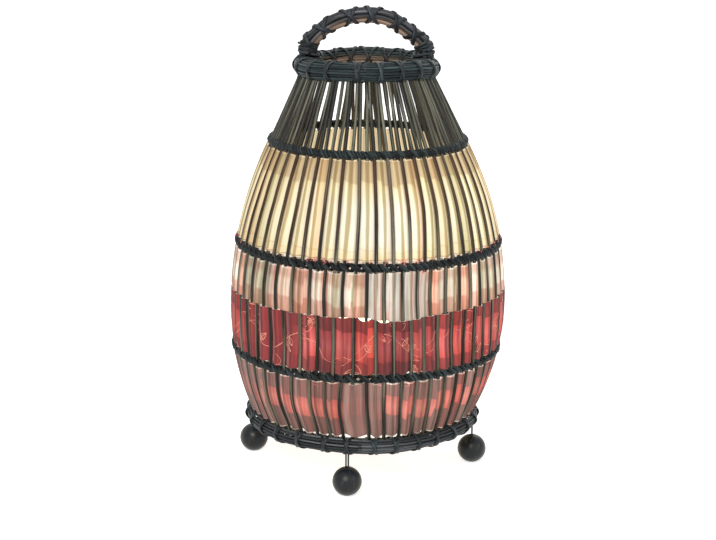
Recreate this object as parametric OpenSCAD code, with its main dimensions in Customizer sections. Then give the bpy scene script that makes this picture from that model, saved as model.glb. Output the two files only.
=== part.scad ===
// Rattan desk lamp: a barrel-shaped cage of thin canes, woven with four strips of
// cloth and three twined bands, lashed to a thick cane rim at the top and at the
// bottom. An arched handle stands on the top rim, four balls carry the lamp, and a
// screw-in bulb stands upright inside.
// Units are millimetres. The origin is at the middle of the lamp on the table,
// +Z is up and the front looks along -Y.

/* [Cage of canes] */
// Distance from the lamp's axis to the middle line of a cane at the belly
belly_cane_r = 117.8; // [114:0.1:122]
// Height of the belly, the widest place of the cage
belly_z = 143.7; // [141:0.1:146]
// Distance from the axis to the middle line of a cane at the top rim
top_cane_r = 51.9; // [51.5:0.1:54]
// Distance from the axis to the middle line of a cane at the bottom rim
bottom_cane_r = 93.0; // [90:0.1:96]
// Length of the straight neck of a cane, up to the top rim
neck_len = 81.1; // [70:0.1:90]
// Thickness of a cane
cane_d = 3.0; // [2.6:0.1:3.1]

/* [Cloth strips and twined bands] */
// Thickness of the cloth
cloth_t = 0.65; // [0.5:0.05:0.8]
// Height of the upper twined band
upper_band_z = 287.4; // [284:0.1:290]
// Height of the middle twined band
middle_band_z = 200.5; // [196:0.1:204]
// Height where the pink strip meets the red strip
cloth_join_z = 159.9; // [156:0.1:164]
// Height of the lower twined band
lower_band_z = 107.5; // [104:0.1:111]
// Width of the flat skein that the bands are twined from
skein_w = 3.2; // [2.8:0.1:3.6]
// Thickness of the skein
skein_t = 1.2; // [0.9:0.1:1.3]

/* [Rims] */
// Height of the middle of the top rim
top_rim_z = 351.3; // [349:0.1:354]
// Thickness of the top rim's bundle of canes, without its lashing
top_rim_d = 16.4; // [16.2:0.1:17]
// Thickness of a strand on the outside of the top rim
top_strand_d = 2.1; // [1.9:0.05:2.15]
// Height of the middle of the bottom rim
bottom_rim_z = 43.0; // [41:0.1:45]
// Thickness of the bottom rim's bundle of canes, without its lashing
bottom_rim_d = 13.6; // [13.5:0.1:14.4]
// Thickness of a strand on the outside of the bottom rim
bottom_strand_d = 2.2; // [2:0.05:2.25]
// Width of the strip that lashes the rims and the handle
lash_w = 2.0; // [1.6:0.1:2.2]
// Thickness of the lashing strip
lash_t = 0.8; // [0.6:0.05:0.85]

/* [Handle] */
// Bend radius of the handle's shoulders
shoulder_r = 17; // [14:0.5:20]
// Half of the angle that the handle's crown arc covers; a larger one arches higher
crown_half_angle = 50; // [44:0.5:54]
// Thickness of a strand around the handle's rod
handle_strand_d = 3.0; // [2.6:0.05:3.05]

/* [Feet and frame] */
// Diameter of a foot ball
ball_d = 25; // [22:0.1:27]
// Width of the flat that a ball stands on
ball_flat_d = 6.2; // [4:0.1:8]
// Thickness of the wire that a foot's hairpin is bent from
stem_wire_d = 1.4; // [1.2:0.05:1.5]
// Thickness of the hoop inside the bottom rim
bottom_hoop_d = 3.5; // [3:0.1:3.6]
// Thickness of the hoop inside the top rim
top_hoop_d = 3.2; // [3:0.1:3.4]
// Width of the bar that crosses the bottom and holds the lamp holder
bar_w = 14; // [12:0.5:16]
// Thickness of the bar
bar_t = 1.5; // [1.2:0.1:1.8]

/* [Lamp holder and bulb] */
// Outer diameter of the lamp holder's shell
holder_d = 28; // [26.4:0.1:30]
// Length of the lamp holder's shell above its cap
shell_len = 39; // [37.5:0.1:40]
// Outer diameter of the threaded tube under the holder
nipple_d = 10; // [9.6:0.1:10.4]
// Bore of the bush where a flex enters
inlet_d = 7; // [6:0.1:7.6]
// Diameter of the bulb's screw cap
bulb_cap_d = 13.8; // [13.6:0.05:14]
// Diameter of the bulb's globe
globe_d = 45; // [40:0.5:50]
// Thickness of the bulb's glass
glass_t = 0.8; // [0.6:0.05:1]

/* [Hidden] */
$fn = 48;
gap = 0.1;
long_fn = 240;
joint = 0.02;
cane_n = 96;
cane_step = 360 / cane_n;
// the first cane stands 5.3 degrees left of the lamp's front
cane_az = -90 - 5.325;
cane_r = cane_d / 2;
// the cage's profile: one arc below the belly, one above it, then a straight neck
low_r = (pow(belly_cane_r - bottom_cane_r, 2) + pow(belly_z - bottom_rim_z, 2)) / (2 * (belly_cane_r - bottom_cane_r));
foot_slope = asin((belly_z - bottom_rim_z) / low_r);
neck_rise = top_rim_z - belly_z;
neck_in = belly_cane_r - top_cane_r;
neck_bend_r = (neck_in * neck_in + neck_rise * neck_rise - neck_len * neck_len) / (2 * neck_in);
neck_draw = neck_bend_r - neck_in;
neck_slope = atan2(neck_rise, neck_draw) - acos(neck_bend_r / sqrt(neck_rise * neck_rise + neck_draw * neck_draw));
neck_z = belly_z + neck_bend_r * sin(neck_slope);
neck_r = belly_cane_r - neck_bend_r * (1 - cos(neck_slope));
// the rims' sections: middle, radius and the circle that the strands lie on
top_rim_r = top_cane_r + 1.6;
top_bundle_r = top_rim_d / 2;
top_ring = top_bundle_r - top_strand_d / 2;
top_u = (top_cane_r - top_rim_r) * cos(neck_slope);
bottom_rim_r = bottom_cane_r + 2.6;
bottom_bundle_r = bottom_rim_d / 2;
bottom_ring = bottom_bundle_r - bottom_strand_d / 2;
bottom_u = (bottom_cane_r - bottom_rim_r) * cos(foot_slope);
// the hoops and the handle's rod
top_hoop_r = top_rim_r - 3.0;
top_hoop_z = top_rim_z + 3.1;
bottom_hoop_r = bottom_rim_r + 2.7;
bottom_hoop_z = bottom_rim_z - 0.4;
rod_r = 2.42;
handle_ring = rod_r + handle_strand_d / 2 + 0.05;
handle_bundle_r = handle_ring + handle_strand_d / 2;
crown_r = (top_hoop_r - shoulder_r) / sin(crown_half_angle) + shoulder_r;
shoulder_z = top_rim_z + top_bundle_r + 0.48;
crown_z = shoulder_z - (crown_r - shoulder_r) * cos(crown_half_angle);
shoulder_angle = 90 - crown_half_angle;
// where the canes end inside the rims, along their own middle lines
top_end = (top_hoop_z - top_rim_z) * cos(neck_slope) + (top_rim_r - top_hoop_r) * sin(neck_slope) - top_hoop_d / 2 - 2 * gap;
short_end = -(top_bundle_r + lash_t + 4 * gap);
bottom_end = -2.2;
// the lashings' turns and where they pass the canes, the handle's legs and the stems
top_turns = 12;
top_lash_az = cane_az + 1.5 * cane_step;
bottom_turns = 24;
foot_az = cane_az - cane_step / 2;
handle_turns = 5.5;
// the foot, the bar and the lamp holder, upwards from the table
ball_r = ball_d / 2;
ball_z = sqrt(ball_r * ball_r - ball_flat_d * ball_flat_d / 4);
bar_top = bottom_rim_z - 2.0;
bar_az = foot_az + 45;
nut_t = 3;
cap_z = bar_top;
shell_z = cap_z + 16;
mouth_z = shell_z + shell_len;
holder_r = holder_d / 2;
wall = 1.6;
nipple_r = nipple_d / 2;
bulb_cap_r = bulb_cap_d / 2;
contact_z = shell_z + 13;
bulb_cap_z = contact_z + 3;
glass_z = bulb_cap_z + 24;
globe_r = globe_d / 2;
neck_top_r = 14.2;
globe_z = glass_z + 11 + sqrt(globe_r * globe_r - neck_top_r * neck_top_r);

// ---- shapes shared by several pieces

// radius and slope of the canes' middle line at a height
function cane_r_at(z) =
    z < belly_z ? belly_cane_r - low_r + sqrt(low_r * low_r - pow(belly_z - z, 2))
    : z < neck_z ? belly_cane_r - neck_bend_r + sqrt(neck_bend_r * neck_bend_r - pow(z - belly_z, 2))
    : neck_r - (z - neck_z) * tan(neck_slope);
function slope_at(z) =
    z < belly_z ? -asin((belly_z - z) / low_r)
    : z < neck_z ? asin((z - belly_z) / neck_bend_r)
    : neck_slope;

// a point of the cage at height z and azimuth az, u outwards and v along the cane
function cage_point(z, u, v, az) =
    let (s = slope_at(z), r = cane_r_at(z) + u * cos(s) - v * sin(s))
    [r * cos(az), r * sin(az), z + u * sin(s) + v * cos(s)];

// faces of a tube of m rings with s corners each, closed on itself or with two ends
function side_faces(m, s, last) = [for (i = [0 : last], j = [0 : s - 1])
    let (a = i * s + j, b = i * s + (j + 1) % s, n = ((i + 1) % m) * s)
    each [[a, n + j, n + (j + 1) % s], [a, n + (j + 1) % s, b]]];
function loop_faces(m, s) = side_faces(m, s, m - 1);
function tube_faces(m, s) = concat(
    side_faces(m, s, m - 2),
    [for (j = [1 : s - 2]) [0, j, j + 1]],
    [for (j = [1 : s - 2]) [(m - 1) * s, (m - 1) * s + j + 1, (m - 1) * s + j]]);

// an arc of round cane in the upright plane of +X, seen from the side
module side_arc(r, a1, a2, d) {
    rotate([90, 0, 0])
        rotate([0, 0, a1])
            rotate_extrude(angle = a2 - a1, $fn = long_fn)
                translate([r, 0])
                    circle(d = d, $fn = 20);
}

// the low ring that covers a joint between two lengths of a cane or rod
module node_ring(d) {
    translate([0, 0, -0.4])
        cylinder(h = 0.8, d = d + 0.08, $fn = 20);
}

// a hoop of round cane around the lamp's axis
module hoop(r, z, d) {
    translate([0, 0, z])
        rotate_extrude($fn = long_fn)
            translate([r, 0])
                circle(d = d, $fn = 20);
}

// ---- the canes

// one cane from the bottom rim over the belly to the top rim, ending there at v; it is
// made of three lengths, and a low node ring of the cane covers each of the two joints
module cane(v) {
    up = neck_len + v - (top_rim_r - top_cane_r) * sin(neck_slope);
    drop = asin(-bottom_end / low_r) - asin((bottom_rim_r - bottom_cane_r) * sin(foot_slope) / low_r);
    translate([belly_cane_r - low_r, 0, belly_z])
        side_arc(low_r, -foot_slope - drop, -joint, cane_d);
    translate([belly_cane_r - neck_bend_r, 0, belly_z])
        side_arc(neck_bend_r, joint, neck_slope - joint, cane_d);
    translate([belly_cane_r, 0, belly_z])
        node_ring(cane_d);
    translate([neck_r, 0, neck_z])
        rotate([0, -neck_slope, 0]) {
            node_ring(cane_d);
            translate([0, 0, 0.1])
                cylinder(h = up - 0.1, d = cane_d, $fn = 20);
        }
}

// every second cane; those that a pass of the top lashing crosses end under the rim
module cane_set(first) {
    for (k = [first : 2 : cane_n - 1])
        rotate([0, 0, cane_az + k * cane_step])
            cane(k % 8 == 0 || k % 8 == 3 ? short_end : top_end);
}

module canes_a() {
    color("#3d4441") cane_set(0);
}

module canes_b() {
    color("#3d4441") cane_set(1);
}

// ---- the woven cloth

// room for the canes beside the cloth, and the wave that gives it at a height
function weave(z, room) =
    let (p = 2 * PI * cane_r_at(z) / cane_n)
    room * p / sqrt(p * p - 4 * room * room);

// a strip of cloth from z1 up to z2 that passes behind the canes of one set and in
// front of the other's; side 1 passes behind the first set
module strip(z1, z2, rows, side) {
    h = (z2 - z1) / rows;
    sag = h * h / (8 * min(low_r, neck_bend_r));
    room = cane_r + cloth_t / 2 + sag / 2 + 1.5 * gap;
    m = rows + 1;
    points = [for (layer = [1, -1], i = [0 : rows], k = [0 : cane_n - 1])
        let (z = z1 + i * h, w = (k % 2 == 0 ? -side : side) * weave(z, room))
        cage_point(z, w + sag / 2 + layer * cloth_t / 2, 0, cane_az + k * cane_step)];
    outer = [for (i = [0 : rows - 1], k = [0 : cane_n - 1])
        let (a = i * cane_n + k, b = i * cane_n + (k + 1) % cane_n)
        each [[a, a + cane_n, b + cane_n], [a, b + cane_n, b]]];
    inner = [for (f = outer) [f[0] + m * cane_n, f[2] + m * cane_n, f[1] + m * cane_n]];
    top = [for (k = [0 : cane_n - 1])
        let (a = rows * cane_n + k, b = rows * cane_n + (k + 1) % cane_n)
        each [[a, a + m * cane_n, b + m * cane_n], [a, b + m * cane_n, b]]];
    bottom = [for (k = [0 : cane_n - 1])
        let (b = (k + 1) % cane_n)
        each [[k, b + m * cane_n, k + m * cane_n], [k, b, b + m * cane_n]]];
    polyhedron(points = points, faces = concat(outer, inner, top, bottom), convexity = 20);
}

band_half = skein_w + gap;
band_room = band_half + 0.5;

module cream_strip() {
    color("#efdcb4") strip(middle_band_z + band_room, upper_band_z - band_room, 3, 1);
}

module pink_strip() {
    color("#f0d2bb") strip(cloth_join_z + 0.45, middle_band_z - band_room, 1, -1);
}

module red_strip() {
    color("#d2434f") strip(lower_band_z + band_room, cloth_join_z - 0.45, 2, 1);
}

module mauve_strip() {
    color("#a8776d") strip(bottom_rim_z + bottom_bundle_r + 2.4, lower_band_z - band_room, 2, -1);
}

// ---- the twined bands

// one of a band's two skeins: it lies outside every second cane, falling from upper
// left to lower right, and comes back up behind the next cane
module skein(z, phase) {
    p = 2 * PI * cane_r_at(z) / cane_n;
    half = 1.2;
    rise = skein_w / 2 + gap;
    room = cane_r + skein_t / 2;
    wave = room * sqrt(pow(p - 2 * half, 2) / (p * p - 4 * room * room)) + 0.05;
    points = [for (k = [0 : cane_n - 1], j = [-1, 1])
        let (out = (k + phase) % 2 == 0 ? 1 : -1)
        let (az = cane_az + k * cane_step + j * half / cane_r_at(z) * 180 / PI)
        for (c = [[-1, -1], [1, -1], [1, 1], [-1, 1]])
            cage_point(z, out * wave + c[0] * skein_t / 2, c[1] * skein_w / 2 - out * j * rise, az)];
    polyhedron(points = points, faces = loop_faces(2 * cane_n, 4), convexity = 20);
}

module upper_band_skein_1() {
    color("#37403f") skein(upper_band_z, 0);
}

module upper_band_skein_2() {
    color("#37403f") skein(upper_band_z, 1);
}

module middle_band_skein_1() {
    color("#37403f") skein(middle_band_z, 0);
}

module middle_band_skein_2() {
    color("#37403f") skein(middle_band_z, 1);
}

module lower_band_skein_1() {
    color("#37403f") skein(lower_band_z, 0);
}

module lower_band_skein_2() {
    color("#37403f") skein(lower_band_z, 1);
}

// ---- the rims' strands

// angles of strands laid side by side on a circle from a1 to a2
function strand_angles(a1, a2, d, ring) =
    let (step = 2 * asin((d / 2 + 0.01) / ring), n = floor((a2 - a1) / step))
    [for (i = [0 : n]) a1 + (a2 - a1) * i / n];

// the top rim's strands leave a slot where the canes come in from below
top_slot = top_strand_d / 2 + cane_r + gap / 2;
top_from = -90 + neck_slope + asin((top_u + top_slot) / top_ring);
top_to = 270 + neck_slope - asin((-top_u + top_slot) / top_ring);
top_angles = strand_angles(top_from, top_to, top_strand_d, top_ring);
ridge_every = 5;

// a strand; those that meet the handle's rod are open there
module top_strand(a) {
    r = top_rim_r + top_ring * cos(a);
    z = top_rim_z + top_ring * sin(a);
    near = rod_r + top_strand_d / 2 + gap / 2;
    open = asin((rod_r + gap) / r) + 0.1;
    if (sin(a) > 0 && abs(r - top_hoop_r) < near)
        for (side = [0, 180])
            rotate([0, 0, side + open])
                translate([0, 0, z])
                    rotate_extrude(angle = 180 - 2 * open, $fn = long_fn)
                        translate([r, 0])
                            circle(d = top_strand_d, $fn = 20);
    else
        hoop(r, z, top_strand_d);
}

module top_rim_strands() {
    color("#35504f")
        for (i = [0 : len(top_angles) - 1])
            if (i % ridge_every != 3)
                top_strand(top_angles[i]);
}

// every fifth strand, the ones that a hand or a table edge meets first
module top_rim_ridges() {
    color("#35504f")
        for (i = [0 : len(top_angles) - 1])
            if (i % ridge_every == 3)
                top_strand(top_angles[i]);
}

// the cane inside the top rim that the other canes are pressed against
module top_rim_core() {
    room = top_ring - top_strand_d / 2;
    color("#7c5a3c") hoop(top_rim_r + room * 0.53, top_rim_z + 0.5, 2 * (room * 0.44));
}

// the bottom rim's strands leave slots for the canes, the stems and the bar
b_gap = bottom_strand_d / 2 + gap / 2;
stem_off = bottom_hoop_r - bottom_rim_r;
stem_half = stem_wire_d / 2 + b_gap;
b_slot = b_gap + cane_r;
b_from_1 = -acos((stem_off + stem_half) / bottom_ring);
b_to_1 = 90 - foot_slope - asin((bottom_u + b_slot) / bottom_ring);
b_from_2 = 90 - foot_slope + asin((-bottom_u + b_slot) / bottom_ring);
b_to_2 = 180 - asin((bar_top - bottom_rim_z + b_gap) / bottom_ring);
b_from_3 = 180 + asin((bottom_rim_z - bar_top + bar_t + b_gap) / bottom_ring);
b_to_3 = 360 - acos((stem_off - stem_half) / bottom_ring);

bottom_runs = [
    strand_angles(b_from_1, b_to_1, bottom_strand_d, bottom_ring),
    strand_angles(b_from_2, b_to_2, bottom_strand_d, bottom_ring),
    strand_angles(b_from_3, b_to_3, bottom_strand_d, bottom_ring)];

// the place in a list of angles of the one nearest to a
function nearest(angles, a, i = 1, best = 0) =
    i >= len(angles) ? best :
    nearest(angles, a, i + 1, abs(angles[i] - a) < abs(angles[best] - a) ? i : best);

// the strand of each run that stands out furthest to the outside, to the inside and below
bottom_ridges = [
    nearest(bottom_runs[0], 4),
    nearest(bottom_runs[1], 184),
    nearest(bottom_runs[2], 274)];

module bottom_rim_strands() {
    color("#35504f")
        for (run = [0 : 2])
            for (i = [0 : len(bottom_runs[run]) - 1])
                if (i != bottom_ridges[run])
                    bottom_strand(bottom_runs[run][i]);
}

module bottom_rim_ridges() {
    color("#35504f")
        for (run = [0 : 2])
            bottom_strand(bottom_runs[run][bottom_ridges[run]]);
}

module bottom_strand(a) {
    hoop(bottom_rim_r + bottom_ring * cos(a), bottom_rim_z + bottom_ring * sin(a), bottom_strand_d);
}

// ---- the lashings: two strips wound opposite ways, so they cross outside and inside

// corners of one turn of a lashing around a rim: how far round the lamp it has come,
// in degrees, at each of m corners round the rim
function turn_steps(m, t, above, below) =
    m == 8 ? [0, above * 0.53, above, above + (t / 2 - above) * 0.54,
        t / 2, t / 2 + (t / 2 - below) * 0.55, t - below, t - below + 0.9]
    : [0, above - 0.25, above + 0.2, t / 2, t - below - 0.2, t - below * 0.6];

function rim_lash_points(rc, zc, bundle, m, turns, az, steps, way, lift) =
    [for (n = [0 : turns - 1], i = [0 : m - 1])
        let (a = 360 * i / m, az1 = az + way * (n * 360 / turns + steps[i]))
        let (mid = (bundle + lash_t / 2 + gap / 2) / cos(180 / m) + (i == 0 || i == m / 2 ? lift : 0))
        let (half = lash_w / 2 / (rc + mid * cos(a)) * 180 / PI)
        for (c = [[-1, -1], [1, -1], [1, 1], [-1, 1]])
            let (r = rc + (mid + c[0] * lash_t / 2) * cos(a), b = az1 + way * c[1] * half)
            [r * cos(b), r * sin(b), zc + (mid + c[0] * lash_t / 2) * sin(a)]];

module rim_lash(points, way) {
    n = len(points) / 4;
    faces = loop_faces(n, 4);
    polyhedron(points = points, faces = way > 0 ? faces : [for (f = faces) [f[0], f[2], f[1]]], convexity = 20);
}

top_steps = turn_steps(8, 360 / top_turns, 8.0, 1.5 * cane_step);
bottom_steps = turn_steps(6, 360 / bottom_turns, cane_step, cane_step);
lash_lift = lash_t + 0.25;

function top_lash(way, lift) =
    rim_lash_points(top_rim_r, top_rim_z, top_bundle_r, 8, top_turns, top_lash_az, top_steps, way, lift);
function bottom_lash(way, lift) =
    rim_lash_points(bottom_rim_r, bottom_rim_z, bottom_bundle_r, 6, bottom_turns, foot_az, bottom_steps, way, lift);

module top_lashing_under() {
    color("#2f4443") rim_lash(top_lash(1, 0), 1);
}

module top_lashing_over() {
    color("#2f4443") rim_lash(top_lash(-1, lash_lift), -1);
}

module bottom_lashing_under() {
    color("#2f4443") rim_lash(bottom_lash(1, 0), 1);
}

module bottom_lashing_over() {
    color("#2f4443") rim_lash(bottom_lash(-1, lash_lift), -1);
}

// ---- the handle

leg_len = shoulder_z - top_hoop_z;
shoulder_len = shoulder_r * shoulder_angle * PI / 180;
crown_len = crown_r * 2 * crown_half_angle * PI / 180;
handle_len = 2 * (leg_len + shoulder_len) + crown_len;

// the handle's middle line at a length s from its left foot: x, z and the angle of
// its outward side
function handle_at(s) =
    s < leg_len ? [-top_hoop_r, top_hoop_z + s, 180]
    : s < leg_len + shoulder_len ?
        let (a = 180 - (s - leg_len) / shoulder_r * 180 / PI)
        [shoulder_r - top_hoop_r + shoulder_r * cos(a), shoulder_z + shoulder_r * sin(a), a]
    : s < leg_len + shoulder_len + crown_len ?
        let (a = 90 + crown_half_angle - (s - leg_len - shoulder_len) / crown_r * 180 / PI)
        [crown_r * cos(a), crown_z + crown_r * sin(a), a]
    : let (h = handle_at(handle_len - s)) [-h[0], h[1], 180 - h[2]];

// a cane or rod bent to the handle's line, off by a outwards and b sideways, from
// height z; with ring set, node rings cover its joints
module handle_cane(a, b, z, d, ring) {
    slit = joint * 2;
    translate([0, b, 0]) {
        translate([0, 0, crown_z])
            side_arc(crown_r + a, shoulder_angle + slit, 180 - shoulder_angle - slit, d);
        for (side = [0, 1])
            mirror([side, 0, 0]) {
                translate([top_hoop_r - shoulder_r, 0, shoulder_z]) {
                    side_arc(shoulder_r + a, slit, shoulder_angle - slit, d);
                    if (ring)
                        for (t = [0, shoulder_angle])
                            rotate([0, -t, 0])
                                translate([shoulder_r + a, 0, 0])
                                    node_ring(d - 0.02);
                }
                translate([top_hoop_r + a, 0, z])
                    cylinder(h = shoulder_z - z - 0.01, d = d, $fn = 20);
            }
    }
}

// eight strands around the rod, standing on the top rim
module handle_strands() {
    color("#3a4a48")
        for (i = [0 : 7])
            handle_cane(handle_ring * cos(45 * i + 22.5), handle_ring * sin(45 * i + 22.5),
                strand_foot(handle_ring * cos(45 * i + 22.5)), handle_strand_d, false);
}

// height where a strand off by a ends, just above the rim's bundle
function strand_foot(a) =
    let (off = max(0, abs(top_hoop_r + a - top_rim_r) - handle_strand_d / 2))
    top_rim_z + sqrt(pow(top_bundle_r + gap, 2) - off * off);

// the steel hoop inside the top rim with the handle's rod welded on
module top_frame() {
    color("#8d8f90") {
        hoop(top_hoop_r, top_hoop_z, top_hoop_d);
        handle_cane(0, 0, top_hoop_z, 2 * rod_r, true);
    }
}

lash_from = top_rim_z + top_bundle_r + lash_w / 2 + 1.5 - top_hoop_z;

function handle_lash(way, lift) =
    [for (i = [0 : 6 * handle_turns])
        let (a = way * 60 * i, s = lash_from + (handle_len - 2 * lash_from) * i / (6 * handle_turns))
        let (h = handle_at(s), mid = (handle_bundle_r + lash_t / 2 + gap / 2) / cos(30) + (i % 3 == 0 ? lift : 0))
        for (c = [[-1, -1], [1, -1], [1, 1], [-1, 1]])
            let (q = mid + c[0] * lash_t / 2, t = c[1] * lash_w / 2)
            [h[0] + q * cos(a) * cos(h[2]) + t * sin(h[2]), q * sin(a), h[1] + q * cos(a) * sin(h[2]) - t * cos(h[2])]];

module handle_lashing_under() {
    color("#2f4443") polyhedron(points = handle_lash(1, 0), faces = tube_faces(6 * handle_turns + 1, 4), convexity = 10);
}

module handle_lashing_over() {
    color("#2f4443") polyhedron(points = handle_lash(-1, lash_lift), faces = tube_faces(6 * handle_turns + 1, 4), convexity = 10);
}

// ---- the least gap of each wound strip to itself, measured between its corners

function middles(points) = [for (i = [0 : len(points) / 4 - 1])
    (points[4 * i] + points[4 * i + 1] + points[4 * i + 2] + points[4 * i + 3]) / 4];
function least_gap(points, skip, closed) =
    let (m = middles(points), n = len(m))
    min([for (i = [0 : n - 1], j = [i + skip : n - 1])
        if (!closed || i + n - j >= skip) norm(m[i] - m[j])]) - norm([lash_w, lash_t]);

echo(top_lashing_gap = least_gap(top_lash(1, 0), 5, true));
echo(bottom_lashing_gap = least_gap(bottom_lash(1, 0), 4, true));
echo(handle_lashing_gap = least_gap(handle_lash(1, 0), 4, false));

// ---- the bottom frame and the feet

stem_bend_z = ball_z + 4.1;
stem_half_w = 1.0;

// the hoop inside the bottom rim with four hairpins below it and the bar across
module base_frame() {
    color("#8d8f90")
        difference() {
            union() {
                hoop(bottom_hoop_r, bottom_hoop_z, bottom_hoop_d);
                for (k = [0 : 3])
                    rotate([0, 0, foot_az + 90 * k])
                        translate([bottom_hoop_r, 0, 0])
                            hairpin();
                rotate([0, 0, bar_az])
                    translate([-bottom_hoop_r + 0.8, -bar_w / 2, bar_top - bar_t])
                        cube([2 * bottom_hoop_r - 1.6, bar_w, bar_t]);
            }
            translate([0, 0, bar_top - bar_t - 1])
                cylinder(h = bar_t + 2, r = nipple_r + gap);
        }
}

// two legs of wire joined by a half ring at the bottom
module hairpin() {
    for (side = [-1, 1])
        translate([0, side * stem_half_w, stem_bend_z])
            cylinder(h = bottom_hoop_z - stem_bend_z, d = stem_wire_d, $fn = 20);
    translate([0, 0, stem_bend_z])
        rotate([0, 0, 90])
            rotate([90, 0, 0])
                rotate([0, 0, 180])
                    rotate_extrude(angle = 180, $fn = 40)
                        translate([stem_half_w, 0])
                            circle(d = stem_wire_d, $fn = 20);
}

// a wooden ball with a flat to stand on and a hole for the hairpin
module foot_ball(k) {
    color("#38393b")
        rotate([0, 0, foot_az + 90 * k])
            translate([bottom_hoop_r, 0, 0])
                difference() {
                    translate([0, 0, ball_z])
                        sphere(r = ball_r, $fn = 64);
                    translate([-ball_r, -ball_r, -ball_r])
                        cube([ball_d, ball_d, ball_r]);
                    translate([0, 0, stem_bend_z - stem_half_w - stem_wire_d / 2 - 0.3])
                        cylinder(h = ball_d, r = stem_half_w + stem_wire_d / 2 + gap);
                }
}

module foot_ball_front() {
    foot_ball(0);
}

module foot_ball_right() {
    foot_ball(1);
}

module foot_ball_back() {
    foot_ball(2);
}

module foot_ball_left() {
    foot_ball(3);
}

// ---- the lamp holder

module nipple() {
    color("#b9a46a")
        translate([0, 0, bar_top - bar_t - 8.5])
            difference() {
                cylinder(h = bar_t + 8.5 + 11, r = nipple_r);
                translate([0, 0, -1])
                    cylinder(h = bar_t + 30, r = nipple_r - 1.2);
            }
}

module hex_nut(z) {
    translate([0, 0, z])
        difference() {
            cylinder(h = nut_t, r = (nipple_r + 2) / cos(30), $fn = 6);
            translate([0, 0, -1])
                cylinder(h = nut_t + 2, r = nipple_r + 0.03);
        }
}

module nut_below() {
    color("#b9a46a") hex_nut(bar_top - bar_t - nut_t);
}

module nut_above() {
    color("#b9a46a") hex_nut(cap_z + 1.5);
}

// the plastic bush at the bottom of the nipple, where a flex enters
module cord_bush() {
    color("#2b2c2e")
        translate([0, 0, bar_top - bar_t - 12.5])
            difference() {
                cylinder(h = 9.3, r = nipple_r + 1.6);
                translate([0, 0, -1])
                    cylinder(h = 11, d = inlet_d);
                translate([0, 0, 4])
                    cylinder(h = 10, r = nipple_r + 0.03);
            }
}

// the cap screwed onto the nipple: a cup with a hole in its floor
module holder_cap() {
    color("#d9d6cf")
        translate([0, 0, cap_z])
            difference() {
                cylinder(h = shell_z - cap_z, r = holder_r);
                translate([0, 0, 1.5])
                    cylinder(h = 30, r = holder_r - wall);
                translate([0, 0, -1])
                    cylinder(h = 10, r = nipple_r + 0.05);
            }
}

// the outer shell with a lip at its mouth
module holder_shell() {
    color("#d9d6cf")
        translate([0, 0, shell_z])
            difference() {
                cylinder(h = shell_len, r = holder_r);
                translate([0, 0, -1])
                    cylinder(h = shell_len - 1, r = holder_r - wall);
                cylinder(h = shell_len + 1, r = holder_r - 3.8);
            }
}

sleeve_r = bulb_cap_r + 0.35;
core_tube_r = sleeve_r + 0.55;
disc_z = shell_z - 2;
disc_h = 10;

// the insulator: a disc with two screw holes and a tube around the thread sleeve
module holder_core() {
    color("#e6e2d8")
        difference() {
            union() {
                translate([0, 0, disc_z])
                    cylinder(h = disc_h, r = holder_r - wall - 0.2);
                translate([0, 0, disc_z + disc_h])
                    cylinder(h = mouth_z - 3 - disc_z - disc_h, r = core_tube_r + 1.6);
            }
            translate([0, 0, disc_z + disc_h])
                cylinder(h = 60, r = core_tube_r);
            for (side = [-1, 1])
                translate([side * 8.6, 0, disc_z - 1])
                    cylinder(h = 7, r = 1.5);
        }
}

// the metal sleeve that the bulb's cap screws into
module thread_sleeve() {
    color("#c8b06b")
        translate([0, 0, disc_z + disc_h + 0.6])
            difference() {
                cylinder(h = mouth_z - 5 - disc_z - disc_h, r = core_tube_r - 0.05);
                translate([0, 0, -1])
                    cylinder(h = 60, r = sleeve_r);
            }
}

// the springy tongue under the bulb's contact
module centre_contact() {
    color("#c8b06b")
        translate([0, 0, disc_z + disc_h]) {
            translate([-5.5, -2, 0])
                cube([4, 4, 0.5]);
            translate([-5.5, -2, 0])
                cube([0.5, 4, contact_z - disc_z - disc_h - 0.05]);
            translate([-5.5, -2, contact_z - disc_z - disc_h - 0.55])
                cube([8, 4, 0.5]);
        }
}

module terminal_screws() {
    color("#b9a46a")
        for (side = [-1, 1])
            translate([side * 8.6, 0, 0]) {
                translate([0, 0, disc_z - 1.3])
                    cylinder(h = 6.3, r = 1.4);
                translate([0, 0, disc_z - 1.3])
                    cylinder(h = 1.2, r = 2.4);
            }
}

// ---- the bulb

module globe_body(t) {
    translate([0, 0, globe_z])
        sphere(r = globe_r - t, $fn = 96);
    translate([0, 0, glass_z])
        cylinder(h = 11, r1 = bulb_cap_r - 0.4 - t, r2 = neck_top_r - t);
}

module bulb_glass() {
    color("#fff2d8")
        difference() {
            globe_body(0);
            globe_body(glass_t);
            translate([0, 0, glass_z - 1])
                cylinder(h = 3, r = bulb_cap_r - 0.4 - glass_t);
        }
}

// the screw cap, hollow, with a rolled rim on top
module bulb_cap() {
    color("#c9c6bd")
        translate([0, 0, bulb_cap_z])
            difference() {
                union() {
                    cylinder(h = 23.9, r = bulb_cap_r);
                    translate([0, 0, 22.4])
                        cylinder(h = 1.5, r = bulb_cap_r + 0.5);
                }
                translate([0, 0, -1])
                    cylinder(h = 30, r = bulb_cap_r - 0.5);
            }
}

module bulb_insulator() {
    color("#222222")
        translate([0, 0, contact_z + 0.8])
            cylinder(h = bulb_cap_z - contact_z - 0.85, r1 = 2.6, r2 = bulb_cap_r - 0.1);
}

module bulb_contact() {
    color("#b8b8b0")
        translate([0, 0, contact_z])
            cylinder(h = 0.75, r = 2.4);
}

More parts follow.
